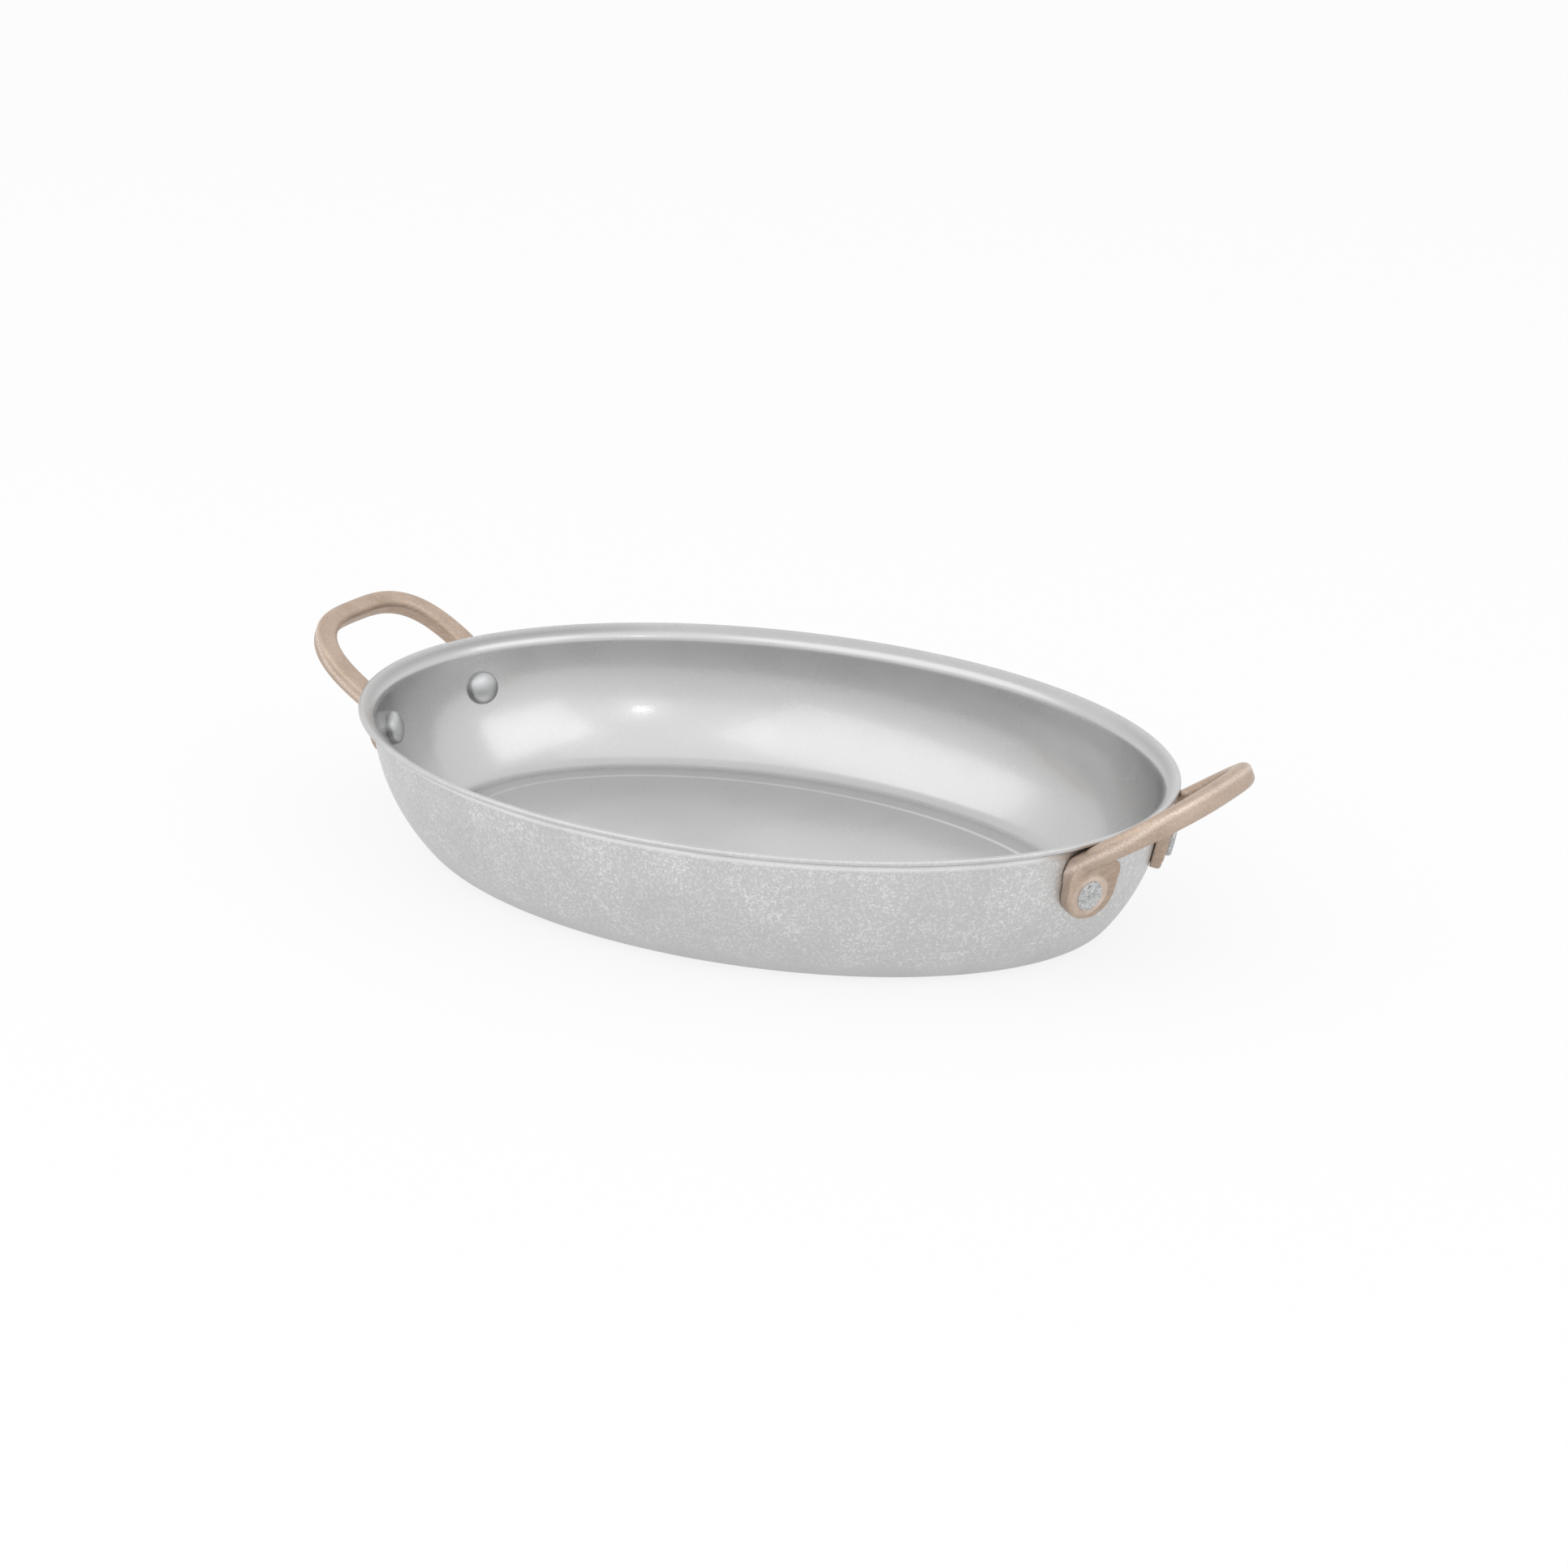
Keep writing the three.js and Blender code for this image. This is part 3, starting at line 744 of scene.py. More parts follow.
def swept(tree, path, profile):
    """Socket of a profile swept along a level ring, with its faces turned outwards."""
    level = made(tree, "GeometryNodeSetCurveNormal", {"Curve": path}, mode="Z_UP")
    sweep = made(tree, "GeometryNodeCurveToMesh", {"Curve": level, "Profile Curve": profile})
    return made(tree, "GeometryNodeFlipFaces", {"Mesh": sweep})


def filled(tree, mesh, edges):
    """Socket of a flat face that fills a ring of a mesh's edges."""
    ring = made(tree, "GeometryNodeMeshToCurve", {"Mesh": mesh, "Selection": edges})
    return made(tree, "GeometryNodeFillCurve", {"Curve": ring}, mode="NGONS")


def sheet_tree():
    """Sweep of a section round an oval rim, with the base and the floor filled in."""
    tree, given, out = new_tree("pressed_sheet", "GeometryNodeTree", {
        "Geometry": "Geometry", "Length": "Float", "Width": "Float", "Sheet": "Float", "Steps": "Int",
        "Inside From": "Float", "Material": "Material",
    }, {"Geometry": "Geometry"})
    way = made(tree, "GeometryNodeSplineParameter")
    inside = calc(tree, "GREATER_THAN", way, given["Inside From"])
    section = stored(tree, given["Geometry"], "inside", inside)
    circle = made(tree, "GeometryNodeCurvePrimitiveCircle", {"Resolution": given["Steps"], "Radius": 1 / 2})
    reach = vector(tree, given["Length"], given["Width"], 1.0)
    rim = made(tree, "GeometryNodeTransform", {"Geometry": circle, "Scale": reach})
    sweep = swept(tree, rim, section)

    faces_beside = made(tree, "GeometryNodeInputMeshEdgeNeighbors")
    open_edge = calc(tree, "LESS_THAN", faces_beside, 3 / 2)
    height = parts_of(tree, made(tree, "GeometryNodeInputPosition"))["Z"]
    upper = calc(tree, "GREATER_THAN", height, times(tree, given["Sheet"], 1 / 2))
    lower = calc(tree, "SUBTRACT", 1.0, upper)
    floor = made(tree, "GeometryNodeTransform", {
        "Geometry": filled(tree, sweep, times(tree, open_edge, upper)),
        "Translation": vector(tree, z=given["Sheet"]),
    })
    floor = stored(tree, floor, "inside", 1.0)
    base = made(tree, "GeometryNodeFlipFaces", {"Mesh": filled(tree, sweep, times(tree, open_edge, lower))})

    whole = tree.nodes.new("GeometryNodeJoinGeometry")
    for part in (sweep, floor, base):
        tree.links.new(part, whole.inputs["Geometry"])
    closed = made(tree, "GeometryNodeMergeByDistance", {
        "Geometry": whole.outputs["Geometry"], "Distance": SHEET_WELD,
    })
    finish_tree(tree, closed, given["Material"], out)
    return tree


def finish_tree(tree, geometry, material, out):
    """Realize, smooth and give a material to what a tree has made."""
    real = made(tree, "GeometryNodeRealizeInstances", {"Geometry": geometry})
    smooth = made(tree, "GeometryNodeSetShadeSmooth", {"Geometry": real})
    feed(tree, out["Geometry"], made(tree, "GeometryNodeSetMaterial", {
        "Geometry": smooth, "Material": material,
    }))


class PAN_OT_make_body(bpy.types.Operator):
    """Press the pan from one sheet: floor, corner, wall and flared lip"""

    bl_idname = "pan.make_body"
    bl_label = "Make Pan Body"

    def execute(self, context):
        settings = context.scene.oval_pan
        pan = settings.body
        section = SheetSection(pan)
        outside, inside = section.outside(), section.inside()
        points = [Vector((point.x, point.y)) for point in outside + inside]
        lengths = np.cumsum([(b - a).length for a, b in zip(points, points[1:])])
        lip_top = lengths[len(outside) - 1]
        piece = grown("pan_sheet", profile_object("pan_section", points), sheet_tree(), {
            "Length": pan.length,
            "Width": pan.width,
            "Sheet": pan.sheet,
            "Steps": pan.oval_steps,
            "Inside From": float((lip_top - pan.edge_round) / lengths[-1]),
            "Material": pan_aluminium(settings.finishes, pan.height),
        })
        keep(piece, "pan_aluminium", "pan_body")
        return {"FINISHED"}


# Rivets

def ear_top(handles, row):
    """How far an ear's face stands off the wall, in front (row -1) or at the back (row 1)."""
    return handles.seat_gap + (handles.ear_thickness if row < 0 else handles.back_thickness)


def rivet_profile(rivets, pan, disc_foot, disc_height):
    """Half outline of a rivet in radius and distance out of the wall, from the dome's top to the disc's."""
    dome, disc, shank = rivets.dome / 2, rivets.disc / 2, rivets.shank / 2
    dome_foot = -pan.wall_sheet - rivets.dome_edge
    disc_top = disc_foot + disc_height
    rounding = rivets.disc_round * disc_height
    corner = Vector((disc - rounding, disc_top - rounding))
    cap = [
        Vector((dome * math.cos(turn), dome_foot + (rivets.dome_height - rivets.dome_edge) * math.sin(turn)))
        for turn in np.linspace(-math.pi / 2, 0, HEAD_STEPS + 1)
    ]
    return [
        *cap,
        Vector((dome, -pan.wall_sheet + rivets.bedding)),
        Vector((shank, -pan.wall_sheet + rivets.bedding)),
        Vector((shank, disc_foot - rivets.bedding)),
        Vector((disc, disc_foot - rivets.bedding)),
        *arc(corner, rounding, 0, math.pi / 2, HEAD_STEPS),
        *[Vector((part * corner.x, disc_top)) for part in np.linspace(1, 0, 2 * HEAD_STEPS + 1)[1:]],
    ]


def away_from(tree, place, across, up):
    """Socket of the distance, level with a rivet's face, from a spot across and up from its middle."""
    off = vector(tree, calc(tree, "SUBTRACT", place["X"], across), calc(tree, "SUBTRACT", place["Y"], up))
    return put(tree, "ShaderNodeVectorMath", {0: off}, operation="LENGTH").outputs["Value"]


def rivet_tree():
    """A turned rivet with two hammer pits, set on its seat and mirrored to the other end of the pan."""
    tree, given, out = new_tree("rivet_pair", "GeometryNodeTree", {
        "Geometry": "Geometry", "Disc Radius": "Float", "Face From": "Float", "Pit Depth": "Float",
        "Disc Oval": "Float", "Seat": "Vector", "Facing": "Vector", "Steps": "Int", "Material": "Material",
    }, {"Geometry": "Geometry"})
    circle = made(tree, "GeometryNodeCurvePrimitiveCircle", {
        "Resolution": given["Steps"], "Radius": given["Disc Radius"],
    })
    turned = swept(tree, circle, given["Geometry"])
    rivet = made(tree, "GeometryNodeMergeByDistance", {"Geometry": turned, "Distance": RIVET_WELD})
    place = parts_of(tree, made(tree, "GeometryNodeInputPosition"))
    face_from = given["Face From"]
    face = ramp(tree, place["Z"], face_from, calc(tree, "ADD", face_from, FACE_RUN))
    pits = [
        ramp(tree, away_from(tree, place, across, up), PIT_FLOOR * radius, radius, *FADING)
        for across, up, radius in PITS
    ]
    # Painted shade: this mask of the hammer's pits dents the face and is also stored to darken the pits'
    # colour
    deep = times(tree, calc(tree, "MAXIMUM", *pits), face)
    inner = calc(tree, "LESS_THAN", place["Z"], 0.0)
    outer = calc(tree, "GREATER_THAN", place["Z"], 0.0)
    # Painted shade: a ring round the foot of each inside dome, darkened in the material
    rim = times(tree, inner, ramp(tree, away_from(tree, place, 0.0, 0.0), *DOME_SHADE_RING))
    for label, value in (("face", face), ("pit", deep), ("rim", rim)):
        rivet = stored(tree, rivet, label, value)
    squeeze = times(tree, outer, calc(tree, "SUBTRACT", given["Disc Oval"], 1.0))
    move = vector(tree, times(tree, place["X"], squeeze), z=times(tree, deep, given["Pit Depth"], -1.0))
    pitted = made(tree, "GeometryNodeSetPosition", {"Geometry": rivet, "Offset": move})

    end = calc(tree, "MULTIPLY_ADD", made(tree, "GeometryNodeInputIndex"), -2.0, 1.0)
    mirror = vector(tree, end, 1.0, 1.0)
    seats = made(tree, "GeometryNodeSetPosition", {
        "Geometry": made(tree, "GeometryNodeMeshLine", {"Count": 2}),
        "Position": vector_calc(tree, "MULTIPLY", given["Seat"], mirror),
    })
    upright = made(tree, "FunctionNodeAlignRotationToVector", {"Vector": (0, 0, 1)}, axis="Y")
    aim = made(tree, "FunctionNodeAlignRotationToVector", {
        "Rotation": upright, "Vector": vector_calc(tree, "MULTIPLY", given["Facing"], mirror),
    }, axis="Z")
    rivets = made(tree, "GeometryNodeInstanceOnPoints", {
        "Points": seats, "Instance": pitted, "Rotation": aim,
    })
    finish_tree(tree, rivets, given["Material"], out)
    return tree


class PAN_OT_make_rivets(bpy.types.Operator):
    """Turn the rivets and set a pair through the ears in front and a pair through those at the back"""

    bl_idname = "pan.make_rivets"
    bl_label = "Make Rivets"

    def execute(self, context):
        settings = context.scene.oval_pan
        pan, rivets, handles = settings.body, settings.rivets, settings.handles
        seat, facing = rivet_seat(pan, rivets)
        tree, finish = rivet_tree(), rivet_aluminium(settings.finishes)
        for row, side, disc_height in (("front", -1, rivets.front_disc), ("back", 1, rivets.back_disc)):
            disc_foot = ear_top(handles, side)
            points = [
                Vector((rivets.disc / 2 - point.x, point.y))
                for point in rivet_profile(rivets, pan, disc_foot, disc_height)
            ]
            mirror = Vector((1, side, 1))
            piece = grown(f"{row}_rivets", profile_object("rivet_outline", points), tree, {
                "Disc Radius": rivets.disc / 2,
                "Face From": disc_foot,
                "Pit Depth": rivets.pit_depth,
                "Disc Oval": rivets.disc_oval,
                "Seat": seat * mirror,
                "Facing": facing * mirror,
                "Steps": rivets.steps,
                "Material": finish,
            })
            keep(piece, "rivet_aluminium", f"rivet_left_{row}", f"rivet_right_{row}")
        return {"FINISHED"}


# Handles

def rounded(across, along, radius):
    """Distance to a section whose two faces lie at across and along, with the edge between them rounded."""
    first, second = across + radius, along + radius
    outer = np.hypot(np.maximum(first, 0), np.maximum(second, 0))
    return outer + np.minimum(np.maximum(first, second), 0) - radius


def run_together(first, second, width):
    """Two distances joined, with a soft run of a width where they meet."""
    weight = np.clip(0.5 + 0.5 * (second - first) / width, 0, 1)
    return second + (first - second) * weight - width * weight * (1 - weight)


class LoopFrame:
    """Grid of points round the right handle, or round the left one turned half round (end -1)."""

    def __init__(self, settings, end):
        pan, handles = settings.body, settings.handles
        self.end = end
        self.tilt = handles.tilt + end * handles.extra_tilt
        self.ear_offset = handles.ear_offset - end * handles.extra_offset
        rise = handles.rise + end * handles.extra_rise
        self.origin = np.array((pan.length / 2, 0, pan.height + rise))
        cosine, sine = math.cos(self.tilt), math.sin(self.tilt)
        self.axes = np.array(((cosine, 0, sine), (0, 1, 0), (-sine, 0, cosine)))
        seat, _ = rivet_seat(pan, settings.rivets)
        margin = MARGIN_CELLS * handles.grain
        ear_foot = self.axes @ (np.array(seat) - self.origin) - handles.ear_radius
        half_span = settings.rivets.spacing / 2 + handles.ear_radius + handles.ear_thickness
        low = np.array((ear_foot[0], -half_span, ear_foot[2] - handles.ear_thickness)) - margin
        high = np.array((handles.reach, half_span, 0)) + margin
        self.low, self.step = low, handles.grain
        self.lines = [np.arange(a, b, handles.grain) for a, b in zip(low, high)]

    def spread(self, direction, start):
        """Distance along a direction from a start, at every point of the grid."""
        parts = [line * (axis @ direction) for line, axis in zip(self.lines, self.axes)]
        base = (self.origin - start) @ direction
        return parts[0][:, None, None] + parts[1][None, :, None] + parts[2][None, None, :] + base

    def to_world(self, cells):
        """Points in the row frame from places on the grid, counted in cells."""
        return self.origin + (self.low + cells * self.step) @ self.axes


def bar_distance(grid, settings):
    """Distance to the bar, an arch from ear to ear, a mask along its parting line, lightened as wear and
    painted highlight, and a mask of its inner side, darkened with file strokes and painted shade.
    """
    pan, rivets, handles = settings.body, settings.rivets, settings.handles
    seat, _ = rivet_seat(pan, rivets)
    root = (seat.x - pan.length / 2) / math.cos(grid.tilt)
    tip = handles.reach - handles.tip_width / 2
    power = 2 / handles.squareness
    turns = np.linspace(0, math.pi, BAR_STEPS + 1)
    reach = root + (tip - root) * np.sin(turns).clip(0) ** power
    spread = handles.spread * np.abs(np.cos(turns)) ** power
    spread -= handles.root_inset * np.clip((tip - reach) / (tip - root), 0, 1) ** 2
    spread *= np.sign(np.cos(turns))
    way = np.concatenate(([0], np.cumsum(np.hypot(np.diff(reach), np.diff(spread)))))
    near_tip = np.sin(math.pi * way / way[-1])

    buried = np.linspace(2 * handles.root_width, 0, BURIED_STEPS, endpoint=False)
    reach = np.concatenate((root - buried, reach, root - buried[::-1]))
    ends = np.full(len(buried), spread[0])
    spread = np.concatenate((ends, spread, -ends))
    near_tip = np.concatenate((0 * buried, near_tip, 0 * buried))
    tangent = np.stack((np.gradient(reach), np.gradient(spread)), 1)
    outward = np.stack((-tangent[:, 1], tangent[:, 0]), 1)
    outward /= np.linalg.norm(outward, axis=1)[:, None]

    along, across, _ = grid.lines
    off, nearest = np.zeros((2, len(along), len(across), 1))
    for row, place in enumerate(along):
        gap = np.hypot(place - reach[None, :], across[:, None] - spread[None, :])
        best = gap.argmin(1)
        side = (place - reach[best]) * outward[best, 0] + (across - spread[best]) * outward[best, 1]
        off[row, :, 0] = np.sign(side) * gap.min(1)
        nearest[row, :, 0] = near_tip[best]

    width = handles.root_width + (handles.tip_width - handles.root_width) * nearest**2
    thick = handles.root_thickness + (handles.tip_thickness - handles.root_thickness) * nearest
    radius = handles.root_round + (handles.tip_round - handles.root_round) * nearest
    height = grid.lines[2][None, None, :] + thick / 2
    climb = np.clip((nearest - CLIMB_FROM) / CLIMB_RUN, 0, 1)
    parting = np.abs(height - handles.parting_rise * climb**2 * (3 - 2 * climb))
    lean = (parting - thick / 4) * math.sin(handles.draft)
    sides = (np.abs(off) - width / 2) * math.cos(handles.draft) + lean
    # Wear and painted highlight: a band along the parting line on the bar's outer side
    ridge_sheen = np.clip(1 - parting / RIDGE_SHEEN_REACH, 0, 1) * (off > width / 4)
    # File strokes and painted shade: a mask of the bar's inner side, which is darkened
    filed_and_shaded = np.clip((-off / width - FILED_SHADE_FROM) / FILED_SHADE_RUN, 0, 1)
    filed_and_shaded = np.broadcast_to(filed_and_shaded, ridge_sheen.shape)
    return rounded(sides, np.abs(height) - thick / 2, radius), ridge_sheen, filed_and_shaded


def ear_frame(settings, side):
    """An ear's rivet, and the ways from it away from the handle's middle, up the wall and out of the wall."""
    seat, facing = rivet_seat(settings.body, settings.rivets)
    mirror = np.array((1, side, 1))
    seat, facing = np.array(seat) * mirror, np.array(facing) * mirror
    level = np.cross((0, 0, 1), facing)
    level /= np.linalg.norm(level)
    return seat, side * level, np.cross(facing, level), facing


def ear_distance(grid, settings, side):
    """Distance to the ear on one side: round under its rivet, wider inside towards its top."""
    handles = settings.handles
    seat, *axes = ear_frame(settings, side)
    out, above, off = (grid.spread(axis, seat) for axis in axes)
    middle = out + grid.ear_offset
    flare = handles.ear_flare * above / (handles.ear_rise - handles.ear_corner)
    sides = np.maximum(middle, -middle - flare) - handles.ear_radius
    upper = rounded(sides, above - handles.ear_rise, handles.ear_corner)
    outline = np.where(above < 0, np.hypot(middle, above) - handles.ear_radius, upper)
    depth = np.abs(off) - ear_top(handles, side * grid.end)
    ear = rounded(outline, depth, handles.ear_round)
    lift = handles.collar_height
    collar = rounded(np.hypot(out, above) - handles.collar, depth - lift, lift)
    return run_together(ear, collar, 2 * lift)


def ring_wear(points, settings, end):
    """How far points lie in the ground rings round the rivets, from 0 to 1."""
    handles = settings.handles
    worn_and_sheen = np.zeros(len(points))
    for side in SIDES:
        seat, away, up, facing = ear_frame(settings, side)
        off = points - seat
        within = np.clip((handles.collar - np.hypot(off @ away, off @ up)) / RING_RUN, 0, 1)
        on_face = off @ facing > ear_top(handles, side * end) - handles.ear_round
        worn_and_sheen = np.maximum(worn_and_sheen, within * on_face)
    return worn_and_sheen


def pan_distance(grid, settings):
    """Distance out of the pan's wall and of its lip."""
    pan = settings.body
    section = SheetSection(pan)
    x, y, z = (grid.spread(axis, np.zeros(3)) for axis in np.eye(3))
    half_length, half_width = pan.length / 2, pan.width / 2
    turn = np.arctan2(y * half_length, x * half_width)
    for _ in range(OVAL_TRIES):
        cosine, sine = np.cos(turn), np.sin(turn)
        away_x, away_y = half_length * cosine - x, half_width * sine - y
        slope = -away_x * half_length * sine + away_y * half_width * cosine
        bend = (half_length * sine) ** 2 + (half_width * cosine) ** 2
        bend -= away_x * half_length * cosine + away_y * half_width * sine
        turn = turn - slope / bend
    cosine, sine = np.cos(turn), np.sin(turn)
    normal_x, normal_y = cosine / half_length, sine / half_width
    inset = (half_length * cosine - x) * normal_x + (half_width * sine - y) * normal_y
    inset /= np.hypot(normal_x, normal_y)

    centre, radius, _ = section.outer_wall
    wall = np.hypot(inset - centre.x, z - centre.y) - radius
    lip = section.lip_foot - section.edge
    share_along = ((inset - section.edge.x) * lip.x + (z - section.edge.y) * lip.y) / lip.length_squared
    share_along = share_along.clip(0, 1)
    lip_gap = np.hypot(
        inset - section.edge.x - share_along * lip.x, z - section.edge.y - share_along * lip.y,
    )
    return np.minimum(wall, lip_gap - pan.lip_sheet / 2)


def settled(field):
    """A field with its thinnest wedges cleared, where the skin would meet itself along an edge."""
    field = field.copy()
    ring = ((0, 0), (1, 0), (1, 1), (0, 1))
    for _, plane in itertools.product(range(3), itertools.combinations(range(3), 2)):
        a, b, c, d = (np.roll(field, (-i, -j), plane) < 0 for i, j in ring)
        crossed = (a == c) & (b == d) & (a != b)
        for step in ring:
            hit = np.roll(crossed, step, plane)
            field[hit] = np.abs(field[hit])
    return field


def skin_of(field):
    """Points, in cells, and four-sided faces of the skin where a field on a grid passes zero."""
    shape = np.array(field.shape) - 1
    corners = list(itertools.product((0, 1), repeat=3))
    cut = [
        field[i:i + shape[0], j:j + shape[1], k:k + shape[2]] for i, j, k in corners
    ]
    within = sum((values < 0).astype(np.int8) for values in cut)
    crossed = (within > 0) & (within < len(corners))
    number = np.full(shape, -1)
    number[crossed] = np.arange(crossed.sum())
    values = [part[crossed] for part in cut]
    total, hits = np.zeros((crossed.sum(), 3)), np.zeros(crossed.sum())
    for first, second in itertools.combinations(range(len(corners)), 2):
        start, end = np.array(corners[first]), np.array(corners[second])
        if np.abs(end - start).sum() != 1:
            continue
        passes = (values[first] < 0) != (values[second] < 0)
        way = values[first][passes] / (values[first][passes] - values[second][passes])
        total[passes] += start + way[:, None] * (end - start)
        hits[passes] += 1
    points = np.argwhere(crossed) + total / hits[:, None]

    faces = []
    for axis in range(3):
        ahead, behind = [slice(1, -1)] * 3, [slice(1, -1)] * 3
        ahead[axis], behind[axis] = slice(1, None), slice(None, -1)
        low, high = field[tuple(behind)] < 0, field[tuple(ahead)] < 0
        second, third = (axis + 1) % 3, (axis + 2) % 3
        place = np.argwhere(low != high) + 1
        place[:, axis] -= 1
        ring = []
        for back_second, back_third in ((1, 1), (0, 1), (0, 0), (1, 0)):
            cell = place.copy()
            cell[:, second] -= back_second
            cell[:, third] -= back_third
            ring.append(number[tuple(cell.T)])
        quads = np.stack(ring, 1)
        leaving = low[low != high]
        faces.append(np.where(leaving[:, None], quads, quads[:, ::-1]))
    return points, np.concatenate(faces)


def sampled(field, cells):
    """A field's values at places counted in cells, run evenly from cell to cell."""
    last = np.array(field.shape) - 1
    cells = np.clip(cells, 0, last)
    low = np.minimum(cells.astype(int), last - 1)
    part = cells - low
    total = np.zeros(len(cells))
    for corner in itertools.product((0, 1), repeat=3):
        weight = np.where(corner, part, 1 - part).prod(axis=1)
        total += weight * field[tuple((low + corner).T)]
    return total


def sharpness_at(field, cells, reach):
    """How sharply the skin bulges at places on it, from the field's values a few cells away."""
    total = -2 * field.ndim * sampled(field, cells)
    for axis, way in itertools.product(range(3), (-reach, reach)):
        moved = cells.copy()
        moved[:, axis] += way
        total += sampled(field, moved)
    return total / reach**2


def handle_mesh(settings, end):
    """Points, faces and marks at each point of the casting for one end, standing at the right end."""
    handles = settings.handles
    grid = LoopFrame(settings, end)
    casting, ridge_sheen, filed_and_shaded = bar_distance(grid, settings)
    for side in SIDES:
        casting = run_together(casting, ear_distance(grid, settings, side), handles.blend)
    wall = handles.seat_gap - pan_distance(grid, settings)
    field = -run_together(-casting, -wall, handles.edge_run)
    cells, faces = skin_of(settled(field))
    points = grid.to_world(cells)
    sharp = sharpness_at(casting, cells, SHARP_CELLS) / handles.grain
    # Wear and painted highlight: the sharper edges and the band along the parting line are lightened in the
    # material
    edges = np.clip((sharp * MM - SHARP_FROM) / SHARP_RUN, 0, 1)
    return points, faces, {
        "worn_and_sheen": np.maximum(edges, sampled(ridge_sheen, cells)),
        "ground": ring_wear(points, settings, end),
        "filed_and_shaded": sampled(filed_and_shaded, cells),
    }


def mesh_from(name, points, faces, marks, material):
    """Smooth mesh of four-sided faces, with values at each point."""
    mesh = bpy.data.meshes.new(name)
    mesh.from_pydata(points.tolist(), [], faces.tolist())
    for label, values in marks.items():
        held = mesh.attributes.new(label, "FLOAT", "POINT")
        held.data.foreach_set("value", values.astype(np.float32))
    mesh.materials.append(material)
    mesh.shade_smooth()
    mesh.validate()
    return mesh


class PAN_OT_make_handles(bpy.types.Operator):
    """Cast a loop handle and bed one on each end of the pan"""

    bl_idname = "pan.make_handles"
    bl_label = "Make Handles"

    def execute(self, context):
        settings = context.scene.oval_pan
        bronze = handle_bronze(settings.finishes)
        for row, end in (("right", 1), ("left", -1)):
            points, faces, marks = handle_mesh(settings, end)
            name = f"{row}_handle_casting"
            piece = linked(name, mesh_from(name, points * (end, end, 1), faces, marks, bronze))
            keep(piece, "handle_bronze", f"handle_{row}")
        return {"FINISHED"}


# Stage

def share_of_rays(tree, seen, mirrored, other):
    """Socket with one value for rays from the camera, one for mirrored rays and one for the rest."""
    path = tree.nodes.new("ShaderNodeLightPath").outputs
    bent = calc(tree, "MAXIMUM", path["Is Glossy Ray"], path["Is Transmission Ray"])
    rest = calc(tree, "MULTIPLY_ADD", bent, mirrored - other, other)
    back = calc(tree, "SUBTRACT", seen, rest)
    return calc(tree, "MULTIPLY_ADD", path["Is Camera Ray"], back, rest)


def light_world(stage):
    """White surroundings, a little dimmer where they only give light."""
    world = bpy.data.worlds.new("studio")
    world.use_nodes = True
    tree = world.node_tree
    background = tree.nodes["Background"].inputs
    background["Color"].default_value = (1, 1, 1, 1)
    feed(tree, background["Strength"], share_of_rays(tree, 1.0, 1.0, stage.world_level))
    return world


def floor_material(stage):
    """Pale matt floor, lifted towards white where it is seen and where the metal mirrors it."""
    material = bpy.data.materials.new("studio_floor")
    material.use_nodes = True
    tree = material.node_tree
    tree.nodes.clear()
    both = made(tree, "ShaderNodeMixShader", {
        "Fac": share_of_rays(tree, stage.floor_glow, stage.floor_mirrored, 0.0),
        1: made(tree, "ShaderNodeBsdfDiffuse", {"Color": rgba(stage.floor_colour)}),
        2: made(tree, "ShaderNodeEmission"),
    })
    put(tree, "ShaderNodeOutputMaterial", {"Surface": both})
    return material


def way_to(azimuth, elevation):
    """Way from the pan towards an azimuth, counted from the front to the right, and an elevation."""
    level = math.cos(elevation)
    return Vector((math.sin(azimuth) * level, -math.cos(azimuth) * level, math.sin(elevation)))


def aimed(name, data, place, way):
    """An object at a place in the scene that looks back along a way."""
    holder = bpy.data.objects.new(name, data)
    holder.location = place
    holder.rotation_mode = "QUATERNION"
    holder.rotation_quaternion = (-way).to_track_quat("-Z", "Y")
    bpy.context.scene.collection.objects.link(holder)
    return holder


def add_lamp(name, way, distance, width, height, brightness):
    """A soft rectangular lamp that looks at the pan, as bright as it is to look like beside a white of 1."""
    lamp = bpy.data.lights.new(name, "AREA")
    lamp.shape = "RECTANGLE"
    lamp.size, lamp.size_y = width, height
    lamp.energy = math.pi * width * height * brightness
    aimed(name, lamp, distance * way, way).visible_camera = False


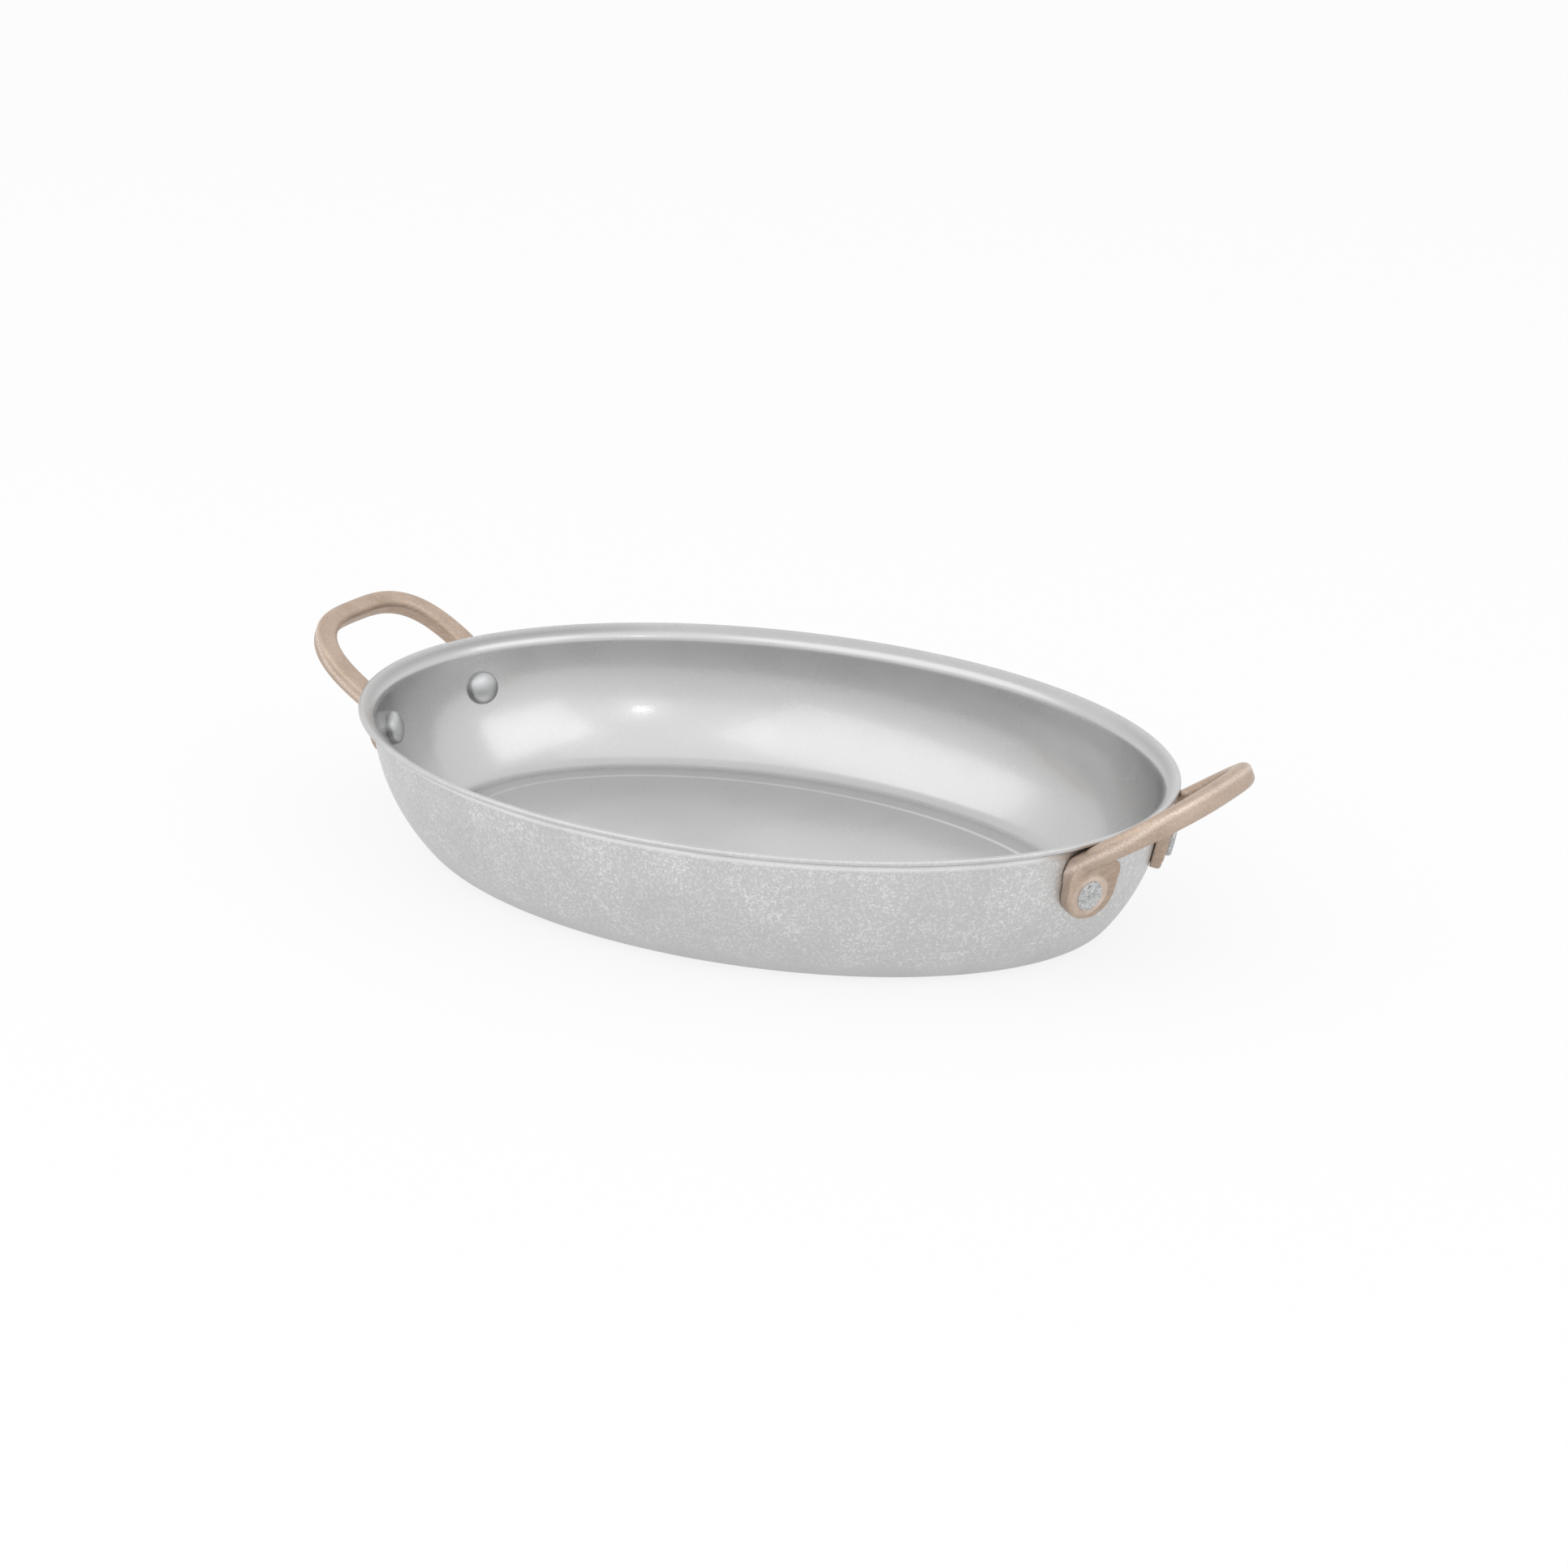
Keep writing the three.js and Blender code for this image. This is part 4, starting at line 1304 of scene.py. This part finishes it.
class PAN_OT_make_stage(bpy.types.Operator):
    """Set up the floor, the surroundings, the lamps and the camera"""

    bl_idname = "pan.make_stage"
    bl_label = "Make Stage"

    def execute(self, context):
        scene, stage = context.scene, context.scene.oval_pan.stage
        scene.view_settings.view_transform = "Standard"
        scene.world = light_world(stage)

        half = stage.floor_size / 2
        mesh = bpy.data.meshes.new("studio_floor")
        corners = [(-half, -half, 0), (half, -half, 0), (half, half, 0), (-half, half, 0)]
        mesh.from_pydata(corners, [], [(0, 1, 2, 3)])
        mesh.materials.append(floor_material(stage))
        linked("studio_floor", mesh)

        for name, azimuth, elevation, width, height, brightness in LAMPS:
            way = way_to(math.radians(azimuth), math.radians(elevation))
            add_lamp(name, way, stage.lamp_distance, width, height, brightness)

        lens = bpy.data.cameras.new("camera")
        lens.sensor_width, lens.lens = SENSOR, stage.lens
        back = way_to(stage.camera_azimuth, stage.camera_elevation)
        scene.camera = aimed("camera", lens, stage.camera_place, back)
        return {"FINISHED"}


class PAN_PT_parts(bpy.types.Panel):
    """Lists the pan's pieces"""

    bl_label = "Oval Pan"
    bl_idname = "PAN_PT_parts"
    bl_space_type = "VIEW_3D"
    bl_region_type = "UI"
    bl_category = "Pan"

    def draw(self, context):
        for operator in OPERATORS:
            self.layout.operator(operator.bl_idname)


OPERATORS = (PAN_OT_make_stage, PAN_OT_make_body, PAN_OT_make_handles, PAN_OT_make_rivets)
CLASSES = (
    PanSizes, RivetSizes, HandleSizes, Finishes, StageSettings, PanSettings, *OPERATORS, PAN_PT_parts,
)


def register():
    """Make the settings, operators and panel known to Blender."""
    for item in CLASSES:
        bpy.utils.register_class(item)
    bpy.types.Scene.oval_pan = PointerProperty(type=PanSettings)


def unregister():
    """Take the settings, operators and panel away again."""
    del bpy.types.Scene.oval_pan
    for item in reversed(CLASSES):
        bpy.utils.unregister_class(item)


def main():
    """Make the stage and every piece."""
    register()
    bpy.ops.pan.make_stage()
    bpy.ops.pan.make_body()
    bpy.ops.pan.make_handles()
    bpy.ops.pan.make_rivets()


if __name__ == "__main__":
    main()
